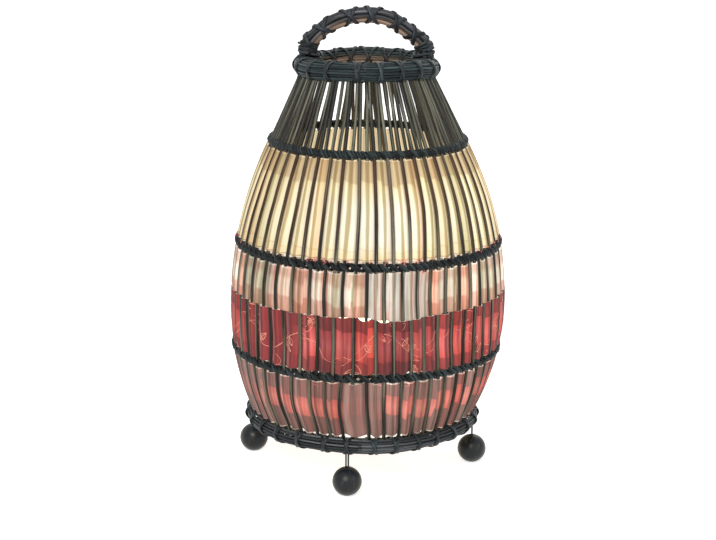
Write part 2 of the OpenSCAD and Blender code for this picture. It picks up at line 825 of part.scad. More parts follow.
// the glass stem that carries the filament
module bulb_stem() {
    color("#f4efe2")
        translate([0, 0, glass_z + 0.1]) {
            cylinder(h = 1, r = bulb_cap_r - 0.5 - glass_t);
            cylinder(h = 13, r1 = 2.6, r2 = 1.6);
        }
}

lead_z = glass_z + 13.2;
filament_z = globe_z - 1;

module bulb_leads() {
    color("#9a9a96")
        for (side = [-1, 1])
            translate([side * 0.8, 0, lead_z])
                rotate([0, side * atan2(5.2, filament_z - lead_z), 0])
                    cylinder(h = norm([5.2, filament_z - lead_z]), r = 0.3, $fn = 16);
}

// the filament, a bow of wire between the leads
module bulb_filament() {
    color("#ffd9a0")
        translate([0, 0, filament_z + 0.4])
            rotate([90, 0, 0])
                rotate_extrude(angle = 180, $fn = 60)
                    translate([6, 0])
                        circle(r = 0.25, $fn = 16);
}

canes_a();
canes_b();
cream_strip();
pink_strip();
red_strip();
mauve_strip();
upper_band_skein_1();
upper_band_skein_2();
middle_band_skein_1();
middle_band_skein_2();
lower_band_skein_1();
lower_band_skein_2();
top_rim_strands();
top_rim_ridges();
top_rim_core();
top_frame();
top_lashing_under();
top_lashing_over();
bottom_rim_strands();
bottom_rim_ridges();
bottom_lashing_under();
bottom_lashing_over();
base_frame();
handle_strands();
handle_lashing_under();
handle_lashing_over();
foot_ball_front();
foot_ball_right();
foot_ball_back();
foot_ball_left();
nipple();
nut_below();
nut_above();
cord_bush();
holder_cap();
holder_shell();
holder_core();
thread_sleeve();
centre_contact();
terminal_screws();
bulb_glass();
bulb_cap();
bulb_insulator();
bulb_contact();
bulb_stem();
bulb_leads();
bulb_filament();
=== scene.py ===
import math
import bmesh
import bpy
import numpy as np
from mathutils import Matrix, Vector


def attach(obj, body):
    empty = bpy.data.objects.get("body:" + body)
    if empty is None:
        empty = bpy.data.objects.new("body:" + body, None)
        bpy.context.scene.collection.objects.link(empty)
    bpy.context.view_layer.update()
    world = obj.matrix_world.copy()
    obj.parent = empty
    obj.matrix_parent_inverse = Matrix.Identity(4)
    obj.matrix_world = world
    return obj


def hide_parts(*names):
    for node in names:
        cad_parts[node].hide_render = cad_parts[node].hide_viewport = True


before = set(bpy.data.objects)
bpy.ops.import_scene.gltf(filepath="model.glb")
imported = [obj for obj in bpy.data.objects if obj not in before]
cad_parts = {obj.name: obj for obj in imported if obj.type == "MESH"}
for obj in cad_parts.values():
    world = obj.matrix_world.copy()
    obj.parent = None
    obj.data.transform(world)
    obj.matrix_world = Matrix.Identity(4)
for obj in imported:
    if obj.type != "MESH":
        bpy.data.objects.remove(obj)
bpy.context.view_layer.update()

# Rattan desk lamp. Lengths below are in millimetres and angles in degrees, counted to
# the right from the lamp's front, unless a name says otherwise; meshes are in metres.
MM = 0.001
rng = np.random.default_rng(7)


# ---------------------------------------------------------------- camera
def add_camera():
    lens = bpy.data.cameras.new("camera")
    lens.sensor_width = 36
    lens.lens = 87.24
    lens.shift_x = -5.5 / 716
    lens.clip_end = 30
    camera = bpy.data.objects.new("camera", lens)
    bpy.context.scene.collection.objects.link(camera)
    turn = Matrix.Rotation(math.radians(90 - 13.95), 4, "X") @ Matrix.Rotation(math.radians(0.5), 4, "Z")
    camera.matrix_world = Matrix.Translation((0, -1.473, 0.537)) @ turn
    bpy.context.scene.camera = camera


add_camera()


# ---------------------------------------------------------------- the cage's form
BELLY_R, BELLY_Z = 117.8, 143.7
BOTTOM_R, BOTTOM_Z = 93.0, 43.0
TOP_R, TOP_Z = 51.9, 351.3
NECK_LEN = 81.1
BEND_R = ((BELLY_R - TOP_R) ** 2 + (TOP_Z - BELLY_Z) ** 2 - NECK_LEN ** 2) / (2 * (BELLY_R - TOP_R))
LOW_R = ((BELLY_R - BOTTOM_R) ** 2 + (BELLY_Z - BOTTOM_Z) ** 2) / (2 * (BELLY_R - BOTTOM_R))
NECK_RISE, NECK_DRAW = TOP_Z - BELLY_Z, BEND_R - (BELLY_R - TOP_R)
NECK_SLOPE = math.atan2(NECK_RISE, NECK_DRAW) - math.acos(BEND_R / math.hypot(NECK_RISE, NECK_DRAW))
NECK_Z = BELLY_Z + BEND_R * math.sin(NECK_SLOPE)
NECK_R = BELLY_R - BEND_R * (1 - math.cos(NECK_SLOPE))
CANES = 96
STEP = 360 / CANES
FIRST = -5.325
CANE_D = 3.0
CLOTH_T = 0.65
UPPER_BAND, MIDDLE_BAND, CLOTH_JOIN, LOWER_BAND = 287.4, 200.5, 159.9, 107.5
TOP_RIM_R, TOP_BUNDLE, TOP_STRAND = TOP_R + 1.6, 8.2, 2.1
BOTTOM_RIM_R, BOTTOM_BUNDLE, BOTTOM_STRAND = BOTTOM_R + 2.6, 6.8, 2.2


def cage_radius(z):
    z = np.asarray(z, float)
    low = BELLY_R - LOW_R + np.sqrt(np.maximum(LOW_R ** 2 - (BELLY_Z - z) ** 2, 0))
    mid = BELLY_R - BEND_R + np.sqrt(np.maximum(BEND_R ** 2 - (z - BELLY_Z) ** 2, 0))
    return np.where(z < BELLY_Z, low, np.where(z < NECK_Z, mid, NECK_R - (z - NECK_Z) * math.tan(NECK_SLOPE)))


def cage_slope(z):
    z = np.asarray(z, float)
    low = -np.arcsin(np.clip((BELLY_Z - z) / LOW_R, -1, 1))
    mid = np.arcsin(np.clip((z - BELLY_Z) / BEND_R, -1, 1))
    return np.where(z < BELLY_Z, low, np.where(z < NECK_Z, mid, NECK_SLOPE))


def lean(z):
    """The cage's middle stands a little to the right of its two rims."""
    return np.interp(z, [30, 43, 80, 120, 160, 200, 245, 290, 350, 400], [0, 0, 1.8, 3.4, 3.9, 4.1, 3.8, 2.8, .9, .4])


def radial(turn):
    a = np.radians(np.asarray(turn, float) - 90)
    return np.stack([np.cos(a), np.sin(a), np.zeros_like(a)], -1)


def cage_point(z, out, turn):
    """A point at height z, out from the canes' middle line; also the two directions out and up there."""
    z, out, turn = np.broadcast_arrays(np.asarray(z, float), np.asarray(out, float), np.asarray(turn, float))
    s = cage_slope(z)[..., None]
    away = radial(turn)
    up = np.array([0.0, 0, 1])
    normal = away * np.cos(s) + up * np.sin(s)
    along = -away * np.sin(s) + up * np.cos(s)
    p = away * cage_radius(z)[..., None] + up * z[..., None] + normal * out[..., None]
    p[..., 0] += lean(p[..., 2])
    return p, normal, along


# ---------------------------------------------------------------- where the canes stand
KS = np.arange(-48, 48)
EVEN_TURN = FIRST + STEP * KS


def level(first, seen):
    """Offsets of all canes from even spacing: the canes of one set stand at the angles
    given, the others midway between them, and the back goes over to even spacing."""
    known = first + 2 * np.arange(len(seen))
    off = np.array(seen) - (FIRST + STEP * known)
    return np.interp(KS, [known[0] - 16, *known, known[-1] + 16], [0, *off, 0])


at_cream = level(-14, [-58.5, -51, -43.5, -35.5, -28.5, -21, -13.5, -4.5, 3.5, 11, 19, 26.5, 33, 40, 46, 53, 59])
at_pink = level(-13, [-57, -48.5, -41.5, -33, -24.5, -18, -10.5, -.5, 6.2, 13.8, 20, 25.5, 33, 40.5, 47, 53.3, 60])
at_red = level(-14, [-58.8, -51.5, -42.5, -35.3, -27.5, -20, -13.5, -5.3, 3.5, 10.5, 17.8, 23.4, 29, 36, 42.5, 49, 55.5])
at_mauve = level(-13, [-56.5, -50.5, -42, -34, -25, -18, -11.5, 1, 8.5, 16, 22.5, 29.5, 37.5, 44, 50])
front = np.clip((80 - np.abs(EVEN_TURN)) / 25, 0, 1)
in_pairs = np.where(KS % 2 == 0, 0.55, -0.55)
# in the neck the canes stand in bunches: the angles that bound each bunch and its number of canes
BUNCHES = [(-44.6, 3), (-34.9, 3), (-22.3, 1), (-18.1, 2), (-9.7, 2), (-2.5, 2), (5.3, 2), (12.6, 1), (17, 1), (21.1, 2),
           (28.2, 3), (37.5, 1), (41.7, 2), (49.9, 3), (59.1, 0)]
at_neck = in_pairs.copy()
k = -10
for (low, count), (high, _) in zip(BUNCHES, BUNCHES[1:]):
    spread = min(2.75, (high - low - 1.2) / max(count, 1))
    for i in range(count):
        at_neck[k + 48] = (low + high) / 2 + (i - (count - 1) / 2) * spread - EVEN_TURN[k + 48]
        k += 1


def turn_behind(turn, near=70.7, far=81.0, away=1473.0):
    """The angle at the back of the neck that shows through a gap at one angle in front."""
    sight = near * math.sin(math.radians(turn)) / (away - near * math.cos(math.radians(turn)))
    a = math.radians(turn)
    for _ in range(6):
        a = math.asin(max(-1, min(1, sight * (away + far * math.cos(a)) / far)))
    return (180 - math.degrees(a) + 185.3) % 360 - 185.3


gaps = sorted([turn_behind(low) for low, _ in BUNCHES] + [low for low, _ in BUNCHES]
              + [-185.2, 174.6, -53, -62, -71, -83, -93, -104, -115, 66, 75, 84, 96, 107, 116])
for low, high in zip(gaps, gaps[1:]):
    inside = [i for i in range(CANES) if low <= EVEN_TURN[i] < high and not -10 <= KS[i] <= 17]
    spread = min(2.8, (high - low - 1.4) / max(len(inside), 1))
    for j, i in enumerate(inside):
        place = (low + high) / 2 + (j - (len(inside) - 1) / 2) * spread
        at_neck[i] = np.clip(place - EVEN_TURN[i], -2.6, 2.6)
LEVEL_Z = np.array([38.0, 52, 78, 135, 178, 245, 296, 320, 358])
level_off = np.stack([
    at_mauve + 2.6 * front, at_mauve + 2.2 * front, at_mauve, at_red, at_pink, at_cream,
    at_cream * .75 + at_neck * .25, at_neck, at_neck * .8], 1)
level_off += rng.normal(0, 1, level_off.shape) * (.12 + .35 * (1 - front[:, None]))
LEVEL_TURN = EVEN_TURN[:, None] + level_off
FINE_Z = np.arange(30.0, 366)
_rough = np.stack([np.interp(FINE_Z, LEVEL_Z, row) for row in LEVEL_TURN])
_kernel = np.hanning(31) / np.hanning(31).sum()
FINE_TURN = np.stack([np.convolve(np.pad(row, 15, "edge"), _kernel, "valid") for row in _rough])


def cane_turns(z):
    """The angles of all canes at one height."""
    return np.array([np.interp(z, FINE_Z, row) for row in FINE_TURN])


def turn_at(t, z):
    """The angle at a place t counted in canes, at one height."""
    turns = cane_turns(z)
    return np.interp(t, np.arange(-49, 50), [turns[-1] - 360, *turns, turns[0] + 360, turns[1] + 360])


def ripple(t, size, waves, seed, period=1.0):
    """A smooth random wave that closes after one period."""
    r = np.random.default_rng(seed)
    t = np.asarray(t, float) / period * 2 * np.pi
    total = np.zeros_like(t)
    for w in waves:
        total += r.normal() * np.sin(w * t) + r.normal() * np.cos(w * t)
    return size * total / math.sqrt(len(waves))


# ---------------------------------------------------------------- node helpers
def srgb(r, g, b):
    def part(c):
        c /= 255
        return c / 12.92 if c < .04045 else ((c + .055) / 1.055) ** 2.4
    return (part(r), part(g), part(b), 1)


class Net:
    """Adds nodes to a tree; a value given for an input is a number, a colour or another node's socket."""

    def __init__(self, tree):
        self.tree = tree

    def add(self, kind, values=None, **settings):
        node = self.tree.nodes.new(kind)
        for key, value in settings.items():
            setattr(node, key, value)
        for key, value in (values or {}).items():
            if isinstance(value, bpy.types.NodeSocket):
                self.tree.links.new(value, node.inputs[key])
            else:
                node.inputs[key].default_value = value
        return node

    def math(self, operation, a, b=0.0, c=0.0, clamp=False):
        values = {0: a, 1: b}
        if operation in ("MULTIPLY_ADD", "SMOOTH_MIN", "SMOOTH_MAX", "COMPARE", "WRAP"):
            values[2] = c
        return self.add("ShaderNodeMath", values, operation=operation, use_clamp=clamp).outputs[0]

    def vector(self, operation, a, b=(0, 0, 0)):
        return self.add("ShaderNodeVectorMath", {0: a, 1: b}, operation=operation).outputs[0]

    def step(self, value, low, high, to_low=0.0, to_high=1.0):
        """Rises smoothly from to_low to to_high as value goes from low to high."""
        node = self.add("ShaderNodeMapRange", interpolation_type="SMOOTHSTEP")
        for key, v in {"Value": value, "From Min": low, "From Max": high, "To Min": to_low, "To Max": to_high}.items():
            if isinstance(v, bpy.types.NodeSocket):
                self.tree.links.new(v, node.inputs[key])
            else:
                node.inputs[key].default_value = v
        return node.outputs["Result"]

    def noise(self, vector, scale=1.0, detail=2.0, rough=.5):
        return self.add("ShaderNodeTexNoise", {"Vector": vector, "Scale": scale, "Detail": detail, "Roughness": rough}).outputs[0]

    def mix(self, fac, a, b, how="MIX"):
        node = self.add("ShaderNodeMix", data_type="RGBA", blend_type=how, clamp_factor=True)
        for key, v in ((0, fac), (6, a), (7, b)):
            if isinstance(v, bpy.types.NodeSocket):
                self.tree.links.new(v, node.inputs[key])
            else:
                node.inputs[key].default_value = v
        return node.outputs[2]

    def scale_colour(self, colour, value):
        grey = self.add("ShaderNodeCombineColor", {0: value, 1: value, 2: value}).outputs[0]
        return self.mix(1.0, colour, grey, "MULTIPLY")


def shader_group(name, inputs, outputs):
    tree = bpy.data.node_groups.new(name, "ShaderNodeTree")
    for socket, kind, default in inputs:
        s = tree.interface.new_socket(name=socket, in_out="INPUT", socket_type=kind)
        if default is not None:
            s.default_value = default
    for socket, kind in outputs:
        tree.interface.new_socket(name=socket, in_out="OUTPUT", socket_type=kind)
    net = Net(tree)
    return tree, net, net.add("NodeGroupInput").outputs, net.add("NodeGroupOutput")


FLOAT, COLOUR, VECTOR = "NodeSocketFloat", "NodeSocketColor", "NodeSocketVector"


# ---------------------------------------------------------------- shared effects
def make_cane_grain():
    """Stained cane: streaks along it, pale wood where the stain is thin, tiny pores, and pale worn stain that on
    outward faces also stands as a painted highlight along the ridge.
    """
    tree, net, given, out = shader_group("cane grain", [
        ("Grain", VECTOR, None), ("Paint", FLOAT, 1.0), ("Stained", COLOUR, (.05, .05, .05, 1)), ("Pale Wear And Ridge Highlight", COLOUR, (.1, .1, .1, 1)),
        ("Bare", COLOUR, (.3, .2, .1, 1)),
        ("Streaks", FLOAT, .5), ("Gloss", FLOAT, .5)], [("Colour", COLOUR), ("Roughness", FLOAT), ("Height", FLOAT)])
    streak = net.noise(net.vector("MULTIPLY", given["Grain"], (2.0, 2.0, 26)), 1, 4, .6)
    fine = net.noise(net.vector("MULTIPLY", given["Grain"], (8.0, 8.0, 210)), 1, 3, .6)
    patch = net.noise(net.vector("MULTIPLY", given["Grain"], (.7, .7, 14)), 1, 2)
    thin = net.math("ADD", given["Paint"], net.math("MULTIPLY_ADD", streak, given["Streaks"], net.math("MULTIPLY", given["Streaks"], -.5)))
    stain = net.step(thin, .12, .62)
    tone = net.noise(net.vector("MULTIPLY", given["Grain"], (.45, .45, 9)), 1, 1)
    worn = net.step(net.math("MULTIPLY_ADD", fine, .16, tone), .53, .65)
    # pale wear only where Paint is high: on canes that is the outward ridge, so there it is also a painted highlight,
    # and the sides stay in painted shade
    worn = net.math("MULTIPLY", worn, net.step(given["Paint"], .3, .72))
    colour = net.mix(stain, given["Bare"], net.mix(worn, given["Stained"], given["Pale Wear And Ridge Highlight"]))
    shade = net.step(patch, .3, .7, .5, 1.5)
    shade = net.math("MULTIPLY", shade, net.step(streak, .3, .7, .55, 1.4))
    colour = net.scale_colour(colour, net.math("MULTIPLY", shade, net.math("MULTIPLY_ADD", fine, .6, .7)))
    net.tree.links.new(colour, out.inputs["Colour"])
    rough = net.math("MULTIPLY_ADD", fine, .3, net.math("SUBTRACT", net.math("MULTIPLY_ADD", streak, .25, .72), given["Gloss"]))
    net.tree.links.new(net.math("MAXIMUM", rough, .18), out.inputs["Roughness"])
    net.tree.links.new(net.math("MULTIPLY_ADD", streak, .6, net.math("MULTIPLY", fine, .4)), out.inputs["Height"])
    return tree


def make_lit_cloth():
    """Thin cloth with a lamp behind it, whose glow through the cloth is painted in as Light for the emission:
    painted shadows of the hidden canes, painted shade beside the canes in front, painted crease shade,
    and a lighter painted lit inside. Weft is the place on the cloth in metres. Near is the
    distance in millimetres from the hidden cane and from the one in front, and 1 on the inside.
    Bay holds a random tone of each bay of the weave with painted lamp light added, its hue, and 1 where the cloth is
    doubled."""
    tree, net, given, out = shader_group("lit cloth", [
        ("Colour", COLOUR, (.8, .7, .5, 1)), ("Warm", COLOUR, (.8, .5, .4, 1)), ("Cool", COLOUR, (.6, .6, .5, 1)), ("Doubled", COLOUR, (.6, .6, .5, 1)),
        ("Lit Inside", COLOUR, (.9, .8, .6, 1)), ("Weft", VECTOR, None), ("Near", VECTOR, None), ("Bay", VECTOR, None),
        ("Cane Shadow", COLOUR, (.5, .45, .35, 1)), ("Stripe Strength", FLOAT, .6), ("Tuck Shade", FLOAT, .4), ("Bay Change", FLOAT, .16),
        ("Crease Shade And Weave", FLOAT, .2), ("Hue Streaks", FLOAT, .5), ("Glow", FLOAT, .5)],
        [("Base", COLOUR), ("Light", COLOUR), ("Height", FLOAT)])
    weft = net.add("ShaderNodeSeparateXYZ", {0: given["Weft"]}).outputs
    near = net.add("ShaderNodeSeparateXYZ", {0: given["Near"]}).outputs
    bay = net.add("ShaderNodeSeparateXYZ", {0: given["Bay"]}).outputs
    drift = net.noise(net.vector("MULTIPLY", given["Weft"], (70, 28, 3.7)), 1, 2)
    hid = net.math("ADD", near[0], net.math("MULTIPLY_ADD", drift, 1.8, -.9))
    # painted shadows of the hidden canes, cast through the cloth by the lamp
    cane_shadow = net.math("MULTIPLY", net.step(hid, .7, 2.1, 1, 0), given["Stripe Strength"])
    # painted shade on the cloth beside each cane in front
    tuck_shade = net.math("MULTIPLY", net.step(near[1], 1.2, 3.2, 1, 0), given["Tuck Shade"])
    # creases: painted shade and highlights in the colour, and bumps; threads and cloudy vary the weave's tone, scaled
    # with them
    creases_and_crease_shade = net.step(net.noise(net.vector("MULTIPLY", given["Weft"], (330, 11, 5.1)), 1, 3, .6), .3, .7)
    threads = net.step(net.noise(net.vector("MULTIPLY", given["Weft"], (1100, 40, 2.3)), 1, 2, .6), .25, .75)
    hues = net.noise(net.vector("MULTIPLY", given["Weft"], (300, 9, 7.7)), 1, 2, .5)
    cloudy = net.noise(net.vector("MULTIPLY", given["Weft"], (35, 45, 9.3)), 1, 2)
    u = net.math("SINE", net.math("MULTIPLY", weft[0], 2 * math.pi / .0008))
    v = net.math("SINE", net.math("MULTIPLY", weft[1], 2 * math.pi / .0008))
    weave = net.math("MULTIPLY", u, v)
    colour = net.mix(net.step(bay[1], .6, .85, 0, .8), given["Colour"], net.mix(1, given["Colour"], given["Warm"], "MULTIPLY"))
    colour = net.mix(net.step(bay[1], .35, .12, 0, .8), colour, net.mix(1, given["Colour"], given["Cool"], "MULTIPLY"))
    colour = net.mix(bay[2], colour, given["Doubled"])
    warmer = net.math("MULTIPLY", net.step(hues, .54, .66), given["Hue Streaks"])
    cooler = net.math("MULTIPLY", net.step(hues, .46, .34), given["Hue Streaks"])
    colour = net.mix(warmer, colour, net.mix(1, colour, given["Warm"], "MULTIPLY"))
    colour = net.mix(cooler, colour, net.mix(1, colour, given["Cool"], "MULTIPLY"))
    level_of = net.math("MULTIPLY_ADD", net.math("SUBTRACT", bay[0], .5), given["Bay Change"], 1.0)
    level_of = net.math("ADD", level_of, net.math("MULTIPLY", net.math("SUBTRACT", creases_and_crease_shade, .5), given["Crease Shade And Weave"]))
    level_of = net.math("ADD", level_of, net.math("MULTIPLY", net.math("SUBTRACT", threads, .5), net.math("MULTIPLY", given["Crease Shade And Weave"], .5)))
    level_of = net.math("ADD", level_of, net.math("MULTIPLY", net.math("SUBTRACT", cloudy, .5), given["Crease Shade And Weave"]))
    level_of = net.math("MULTIPLY_ADD", weave, .025, level_of)
    level_of = net.math("MULTIPLY", level_of, net.math("SUBTRACT", 1.0, tuck_shade))
    cane_shadowed = net.mix(cane_shadow, colour, net.mix(1.0, colour, given["Cane Shadow"], "MULTIPLY"))
    # the inside face is lighter and glows more: painted lamp light on it
    cane_shadowed = net.scale_colour(net.mix(near[2], cane_shadowed, given["Lit Inside"]), level_of)
    # Base is half the colour; Light is the painted glow of the lamp through the cloth, sent to emission
    net.tree.links.new(net.scale_colour(cane_shadowed, .5), out.inputs["Base"])
    net.tree.links.new(net.scale_colour(cane_shadowed, net.math("MULTIPLY_ADD", near[2], .25, given["Glow"])), out.inputs["Light"])
    height = net.math("MULTIPLY_ADD", weave, .12, creases_and_crease_shade)
    net.tree.links.new(height, out.inputs["Height"])
    return tree


def make_speckle():
    """Small unevenness of a hard finish: cloudy tone, pores and scuffs, on Object coordinates."""
    tree, net, given, out = shader_group("speckle", [
        ("Place", VECTOR, None), ("Colour", COLOUR, (.5, .5, .5, 1)), ("Worn", COLOUR, (.6, .6, .6, 1)), ("Size", FLOAT, 1.0),
        ("Wear", FLOAT, .3), ("Rough", FLOAT, .4)], [("Colour", COLOUR), ("Roughness", FLOAT), ("Height", FLOAT)])
    place = net.add("ShaderNodeVectorMath", {0: given["Place"], "Scale": given["Size"]}, operation="SCALE").outputs[0]
    cloud = net.noise(place, 90, 3)
    pores = net.noise(place, 900, 2)
    scuff = net.noise(net.vector("MULTIPLY", place, (260, 260, 60)), 1, 4, .65)
    worn = net.math("MULTIPLY", net.step(scuff, .56, .72), given["Wear"])
    colour = net.mix(worn, given["Colour"], given["Worn"])
    colour = net.scale_colour(colour, net.math("MULTIPLY_ADD", cloud, .4, net.math("MULTIPLY_ADD", pores, .16, .72)))
    net.tree.links.new(colour, out.inputs["Colour"])
    net.tree.links.new(net.math("MULTIPLY_ADD", cloud, .2, net.math("MULTIPLY_ADD", worn, .3, net.math("SUBTRACT", given["Rough"], .1))), out.inputs["Roughness"])
    net.tree.links.new(net.math("MULTIPLY_ADD", pores, .4, net.math("MULTIPLY", scuff, .6)), out.inputs["Height"])
    return tree


CANE_GRAIN = make_cane_grain()
LIT_CLOTH = make_lit_cloth()
SPECKLE = make_speckle()


# ---------------------------------------------------------------- materials
def new_material(name):
    material = bpy.data.materials.new(name)
    material.use_nodes = True
    net = Net(material.node_tree)
    surface = next(n for n in material.node_tree.nodes if n.type == "BSDF_PRINCIPLED")
    return material, net, surface


def use_group(net, tree, values):
    return net.add("ShaderNodeGroup", node_tree=tree), values


def group_node(net, tree, values):
    node = net.add("ShaderNodeGroup", node_tree=tree)
    for key, v in values.items():
        if isinstance(v, bpy.types.NodeSocket):
            net.tree.links.new(v, node.inputs[key])
        else:
            node.inputs[key].default_value = v
    return node.outputs


def bump(net, surface, height, depth, strength=1.0):
    node = net.add("ShaderNodeBump", {"Height": height, "Distance": depth, "Strength": strength})
    net.tree.links.new(node.outputs["Normal"], surface.inputs["Normal"])


def cane_material(name, stained, pale_wear_and_ridge_highlight, bare, streaks=.5, gloss=.2, depth=.00025, specular=.25, warm=None, neck=None):
    """warm and neck, if given, are the stain's colour in front of the cream cloth and the pale worn colour above it;
    the warm reddish brown is painted glow of the lit cloth through the canes' edges.
    """
    material, net, surface = new_material(name)
    if warm:
        z = net.add("ShaderNodeSeparateXYZ", {0: net.add("ShaderNodeTexCoord").outputs["Object"]}).outputs[2]
        # in front of the cream cloth the stain, and half the pale wear, turn reddish brown: painted glow of the lit
        # cloth behind the canes
        there = net.math("MULTIPLY", net.step(z, .2, .25), net.step(z, .28, .292, 1, 0))
        stained = net.mix(there, stained, warm)
        above = net.step(z, .28, .295)
        pale_wear_and_ridge_highlight = net.mix(there, net.mix(above, pale_wear_and_ridge_highlight, neck), net.mix(.5, pale_wear_and_ridge_highlight, warm))
        # in the neck the bare wood at the sides is darkened toward the stain: painted shade between the strands
        bare = net.mix(above, bare, net.mix(.35, stained, bare))
    grain = net.add("ShaderNodeAttribute", attribute_name="grain").outputs["Vector"]
    paint = net.add("ShaderNodeAttribute", attribute_name="paint").outputs["Fac"]
    got = group_node(net, CANE_GRAIN, {"Grain": grain, "Paint": paint, "Stained": stained, "Pale Wear And Ridge Highlight": pale_wear_and_ridge_highlight, "Bare": bare, "Streaks": streaks, "Gloss": gloss})
    surface.inputs["Specular IOR Level"].default_value = specular
    net.tree.links.new(got["Colour"], surface.inputs["Base Color"])
    net.tree.links.new(got["Roughness"], surface.inputs["Roughness"])
    bump(net, surface, got["Height"], depth)
    return material


# strength sets the painted shadows of the hidden canes, tuck_shade the painted shade beside the canes in front, fold
# the painted crease shade and weave tone, inner the painted lit inside
def cloth_material(name, heights, warm, cool, doubled, inner, cane_shadow, strength, tuck_shade, bay_change, fold, hues, glow, shift=6.0):
    """heights lists the colour seen at each height in millimetres, from the bottom up: the dyed cloth with the lamp's
    glow through it painted in, painted shade at hems and hem lines, and white painted lamp light leaking past some
    edges;
    shift is how far the bays may differ in that."""
    material, net, surface = new_material(name)
    low, high = heights[0][0], heights[-1][0]
    z = net.add("ShaderNodeSeparateXYZ", {0: net.add("ShaderNodeTexCoord").outputs["Object"]}).outputs[2]
    weft = net.add("ShaderNodeAttribute", attribute_name="weft").outputs["Vector"]
    near = net.add("ShaderNodeAttribute", attribute_name="near").outputs["Vector"]
    bay = net.add("ShaderNodeAttribute", attribute_name="bay").outputs["Vector"]
    slip = net.math("MULTIPLY_ADD", net.noise(net.vector("MULTIPLY", weft, (45, 0, 2.1)), 1, 1), .003, -.0015)
    tone = net.add("ShaderNodeSeparateXYZ", {0: bay}).outputs[0]
    slip = net.math("ADD", slip, net.math("MULTIPLY_ADD", net.math("FRACT", net.math("MULTIPLY", tone, 7.3)), shift * MM, -shift / 2 * MM))
    middle = (low + high) / 2 * MM
    edge = net.step(net.math("ABSOLUTE", net.math("SUBTRACT", z, middle)), (high - low) * .34 * MM, (high - low) * .44 * MM, 1, 0)
    slip = net.math("MULTIPLY", slip, edge)
    place = net.math("MULTIPLY_ADD", net.math("ADD", z, slip), 1 / ((high - low) * MM), -low / (high - low))
    ramp = net.add("ShaderNodeValToRGB", {0: place})
    ends = ramp.color_ramp.elements
    while len(ends) > 1:
        ends.remove(ends[-1])
    for i, (height, colour) in enumerate(heights):
        e = ends[0] if i == 0 else ends.new((height - low) / (high - low))
        e.position = (height - low) / (high - low)
        e.color = srgb(*colour)
    got = group_node(net, LIT_CLOTH, {"Colour": ramp.outputs["Color"], "Warm": warm, "Cool": cool, "Doubled": doubled, "Lit Inside": inner,
        "Weft": weft, "Near": near, "Bay": bay, "Cane Shadow": cane_shadow, "Stripe Strength": strength, "Tuck Shade": tuck_shade,
        "Bay Change": bay_change, "Crease Shade And Weave": fold, "Hue Streaks": hues, "Glow": glow})
    net.tree.links.new(got["Base"], surface.inputs["Base Color"])
    # painted glow of the lamp through the cloth, as emission
    net.tree.links.new(got["Light"], surface.inputs["Emission Color"])
    surface.inputs["Emission Strength"].default_value = 1.0
    surface.inputs["Roughness"].default_value = .85
    surface.inputs["Sheen Weight"].default_value = .15
    bump(net, surface, got["Height"], .0006, .6)
    return material


def hard_material(name, colour, worn, rough=.4, metallic=0.0, size=1.0, wear=.3, depth=.0002, **settings):
    material, net, surface = new_material(name)
    place = net.add("ShaderNodeTexCoord").outputs["Object"]
    got = group_node(net, SPECKLE, {"Place": place, "Colour": colour, "Worn": worn, "Size": size, "Wear": wear, "Rough": rough})
    net.tree.links.new(got["Colour"], surface.inputs["Base Color"])
    net.tree.links.new(got["Roughness"], surface.inputs["Roughness"])
    surface.inputs["Metallic"].default_value = metallic
    for key, value in settings.items():
        surface.inputs[key.replace("_", " ")].default_value = value
    bump(net, surface, got["Height"], depth, .5)
    return material


cane = cane_material("stained cane", srgb(24, 25, 22), srgb(104, 102, 87), srgb(112, 96, 72), .7, .55, specular=.22, warm=srgb(56, 36, 22), neck=srgb(94, 94, 80))
band_cane = cane_material("band cane", srgb(9, 13, 15), srgb(46, 55, 56), srgb(46, 46, 40), .3, .5, specular=.18)
rim_cane = cane_material("rim cane", srgb(14, 25, 26), srgb(54, 68, 68), srgb(178, 152, 132), .45, .55, specular=.22)
foot_cane = cane_material("bottom rim cane", srgb(28, 32, 34), srgb(84, 88, 90), srgb(128, 106, 92), .45, .5, specular=.3)
lashing_cane = cane_material("lashing cane", srgb(14, 21, 23), srgb(44, 54, 56), srgb(92, 76, 66), .3, .55, specular=.3)
handle_cane = cane_material("handle cane", srgb(31, 31, 34), srgb(86, 87, 90), srgb(186, 158, 136), .5, .5, specular=.28)
handle_wrap = cane_material("handle lashing", srgb(15, 18, 22), srgb(46, 52, 59), srgb(104, 88, 76), .4, .5, specular=.22)

# The colours at each height hold the lamp's glow through the cloth, painted: bright zones, painted shade at the hems,
# and white painted lamp light at the edges by the bands.
cream_cloth = cloth_material("cream cloth", [
    (203, (255, 248, 234)), (205.6, (255, 244, 224)), (206.2, (240, 216, 176)), (206.8, (184, 150, 112)), (207.4, (242, 220, 178)),
    (213, (244, 224, 180)), (213.6, (224, 200, 156)), (214.4, (245, 228, 188)), (232, (250, 236, 200)), (262, (248, 232, 192)),
    (265.5, (240, 222, 178)), (267, (214, 190, 150)), (282.6, (204, 178, 138)), (283.4, (250, 236, 208))],
    srgb(248, 226, 204), srgb(222, 224, 204), srgb(255, 253, 246), srgb(252, 230, 184), srgb(182, 170, 140), .9, .38, .2, .13, .35, .67)
pink_cloth = cloth_material("pink cloth", [
    (157, (206, 160, 140)), (170.0, (220, 178, 158)), (172.0, (244, 224, 204)), (184, (246, 230, 212)), (188.5, (220, 188, 168)),
    (194.9, (222, 190, 172)), (195.5, (255, 246, 236)), (196.3, (255, 250, 242))], srgb(238, 190, 172), srgb(204, 208, 190), srgb(192, 186, 176), srgb(255, 240, 222),
    srgb(172, 164, 146), .78, .4, .46, .34, .85, .71)
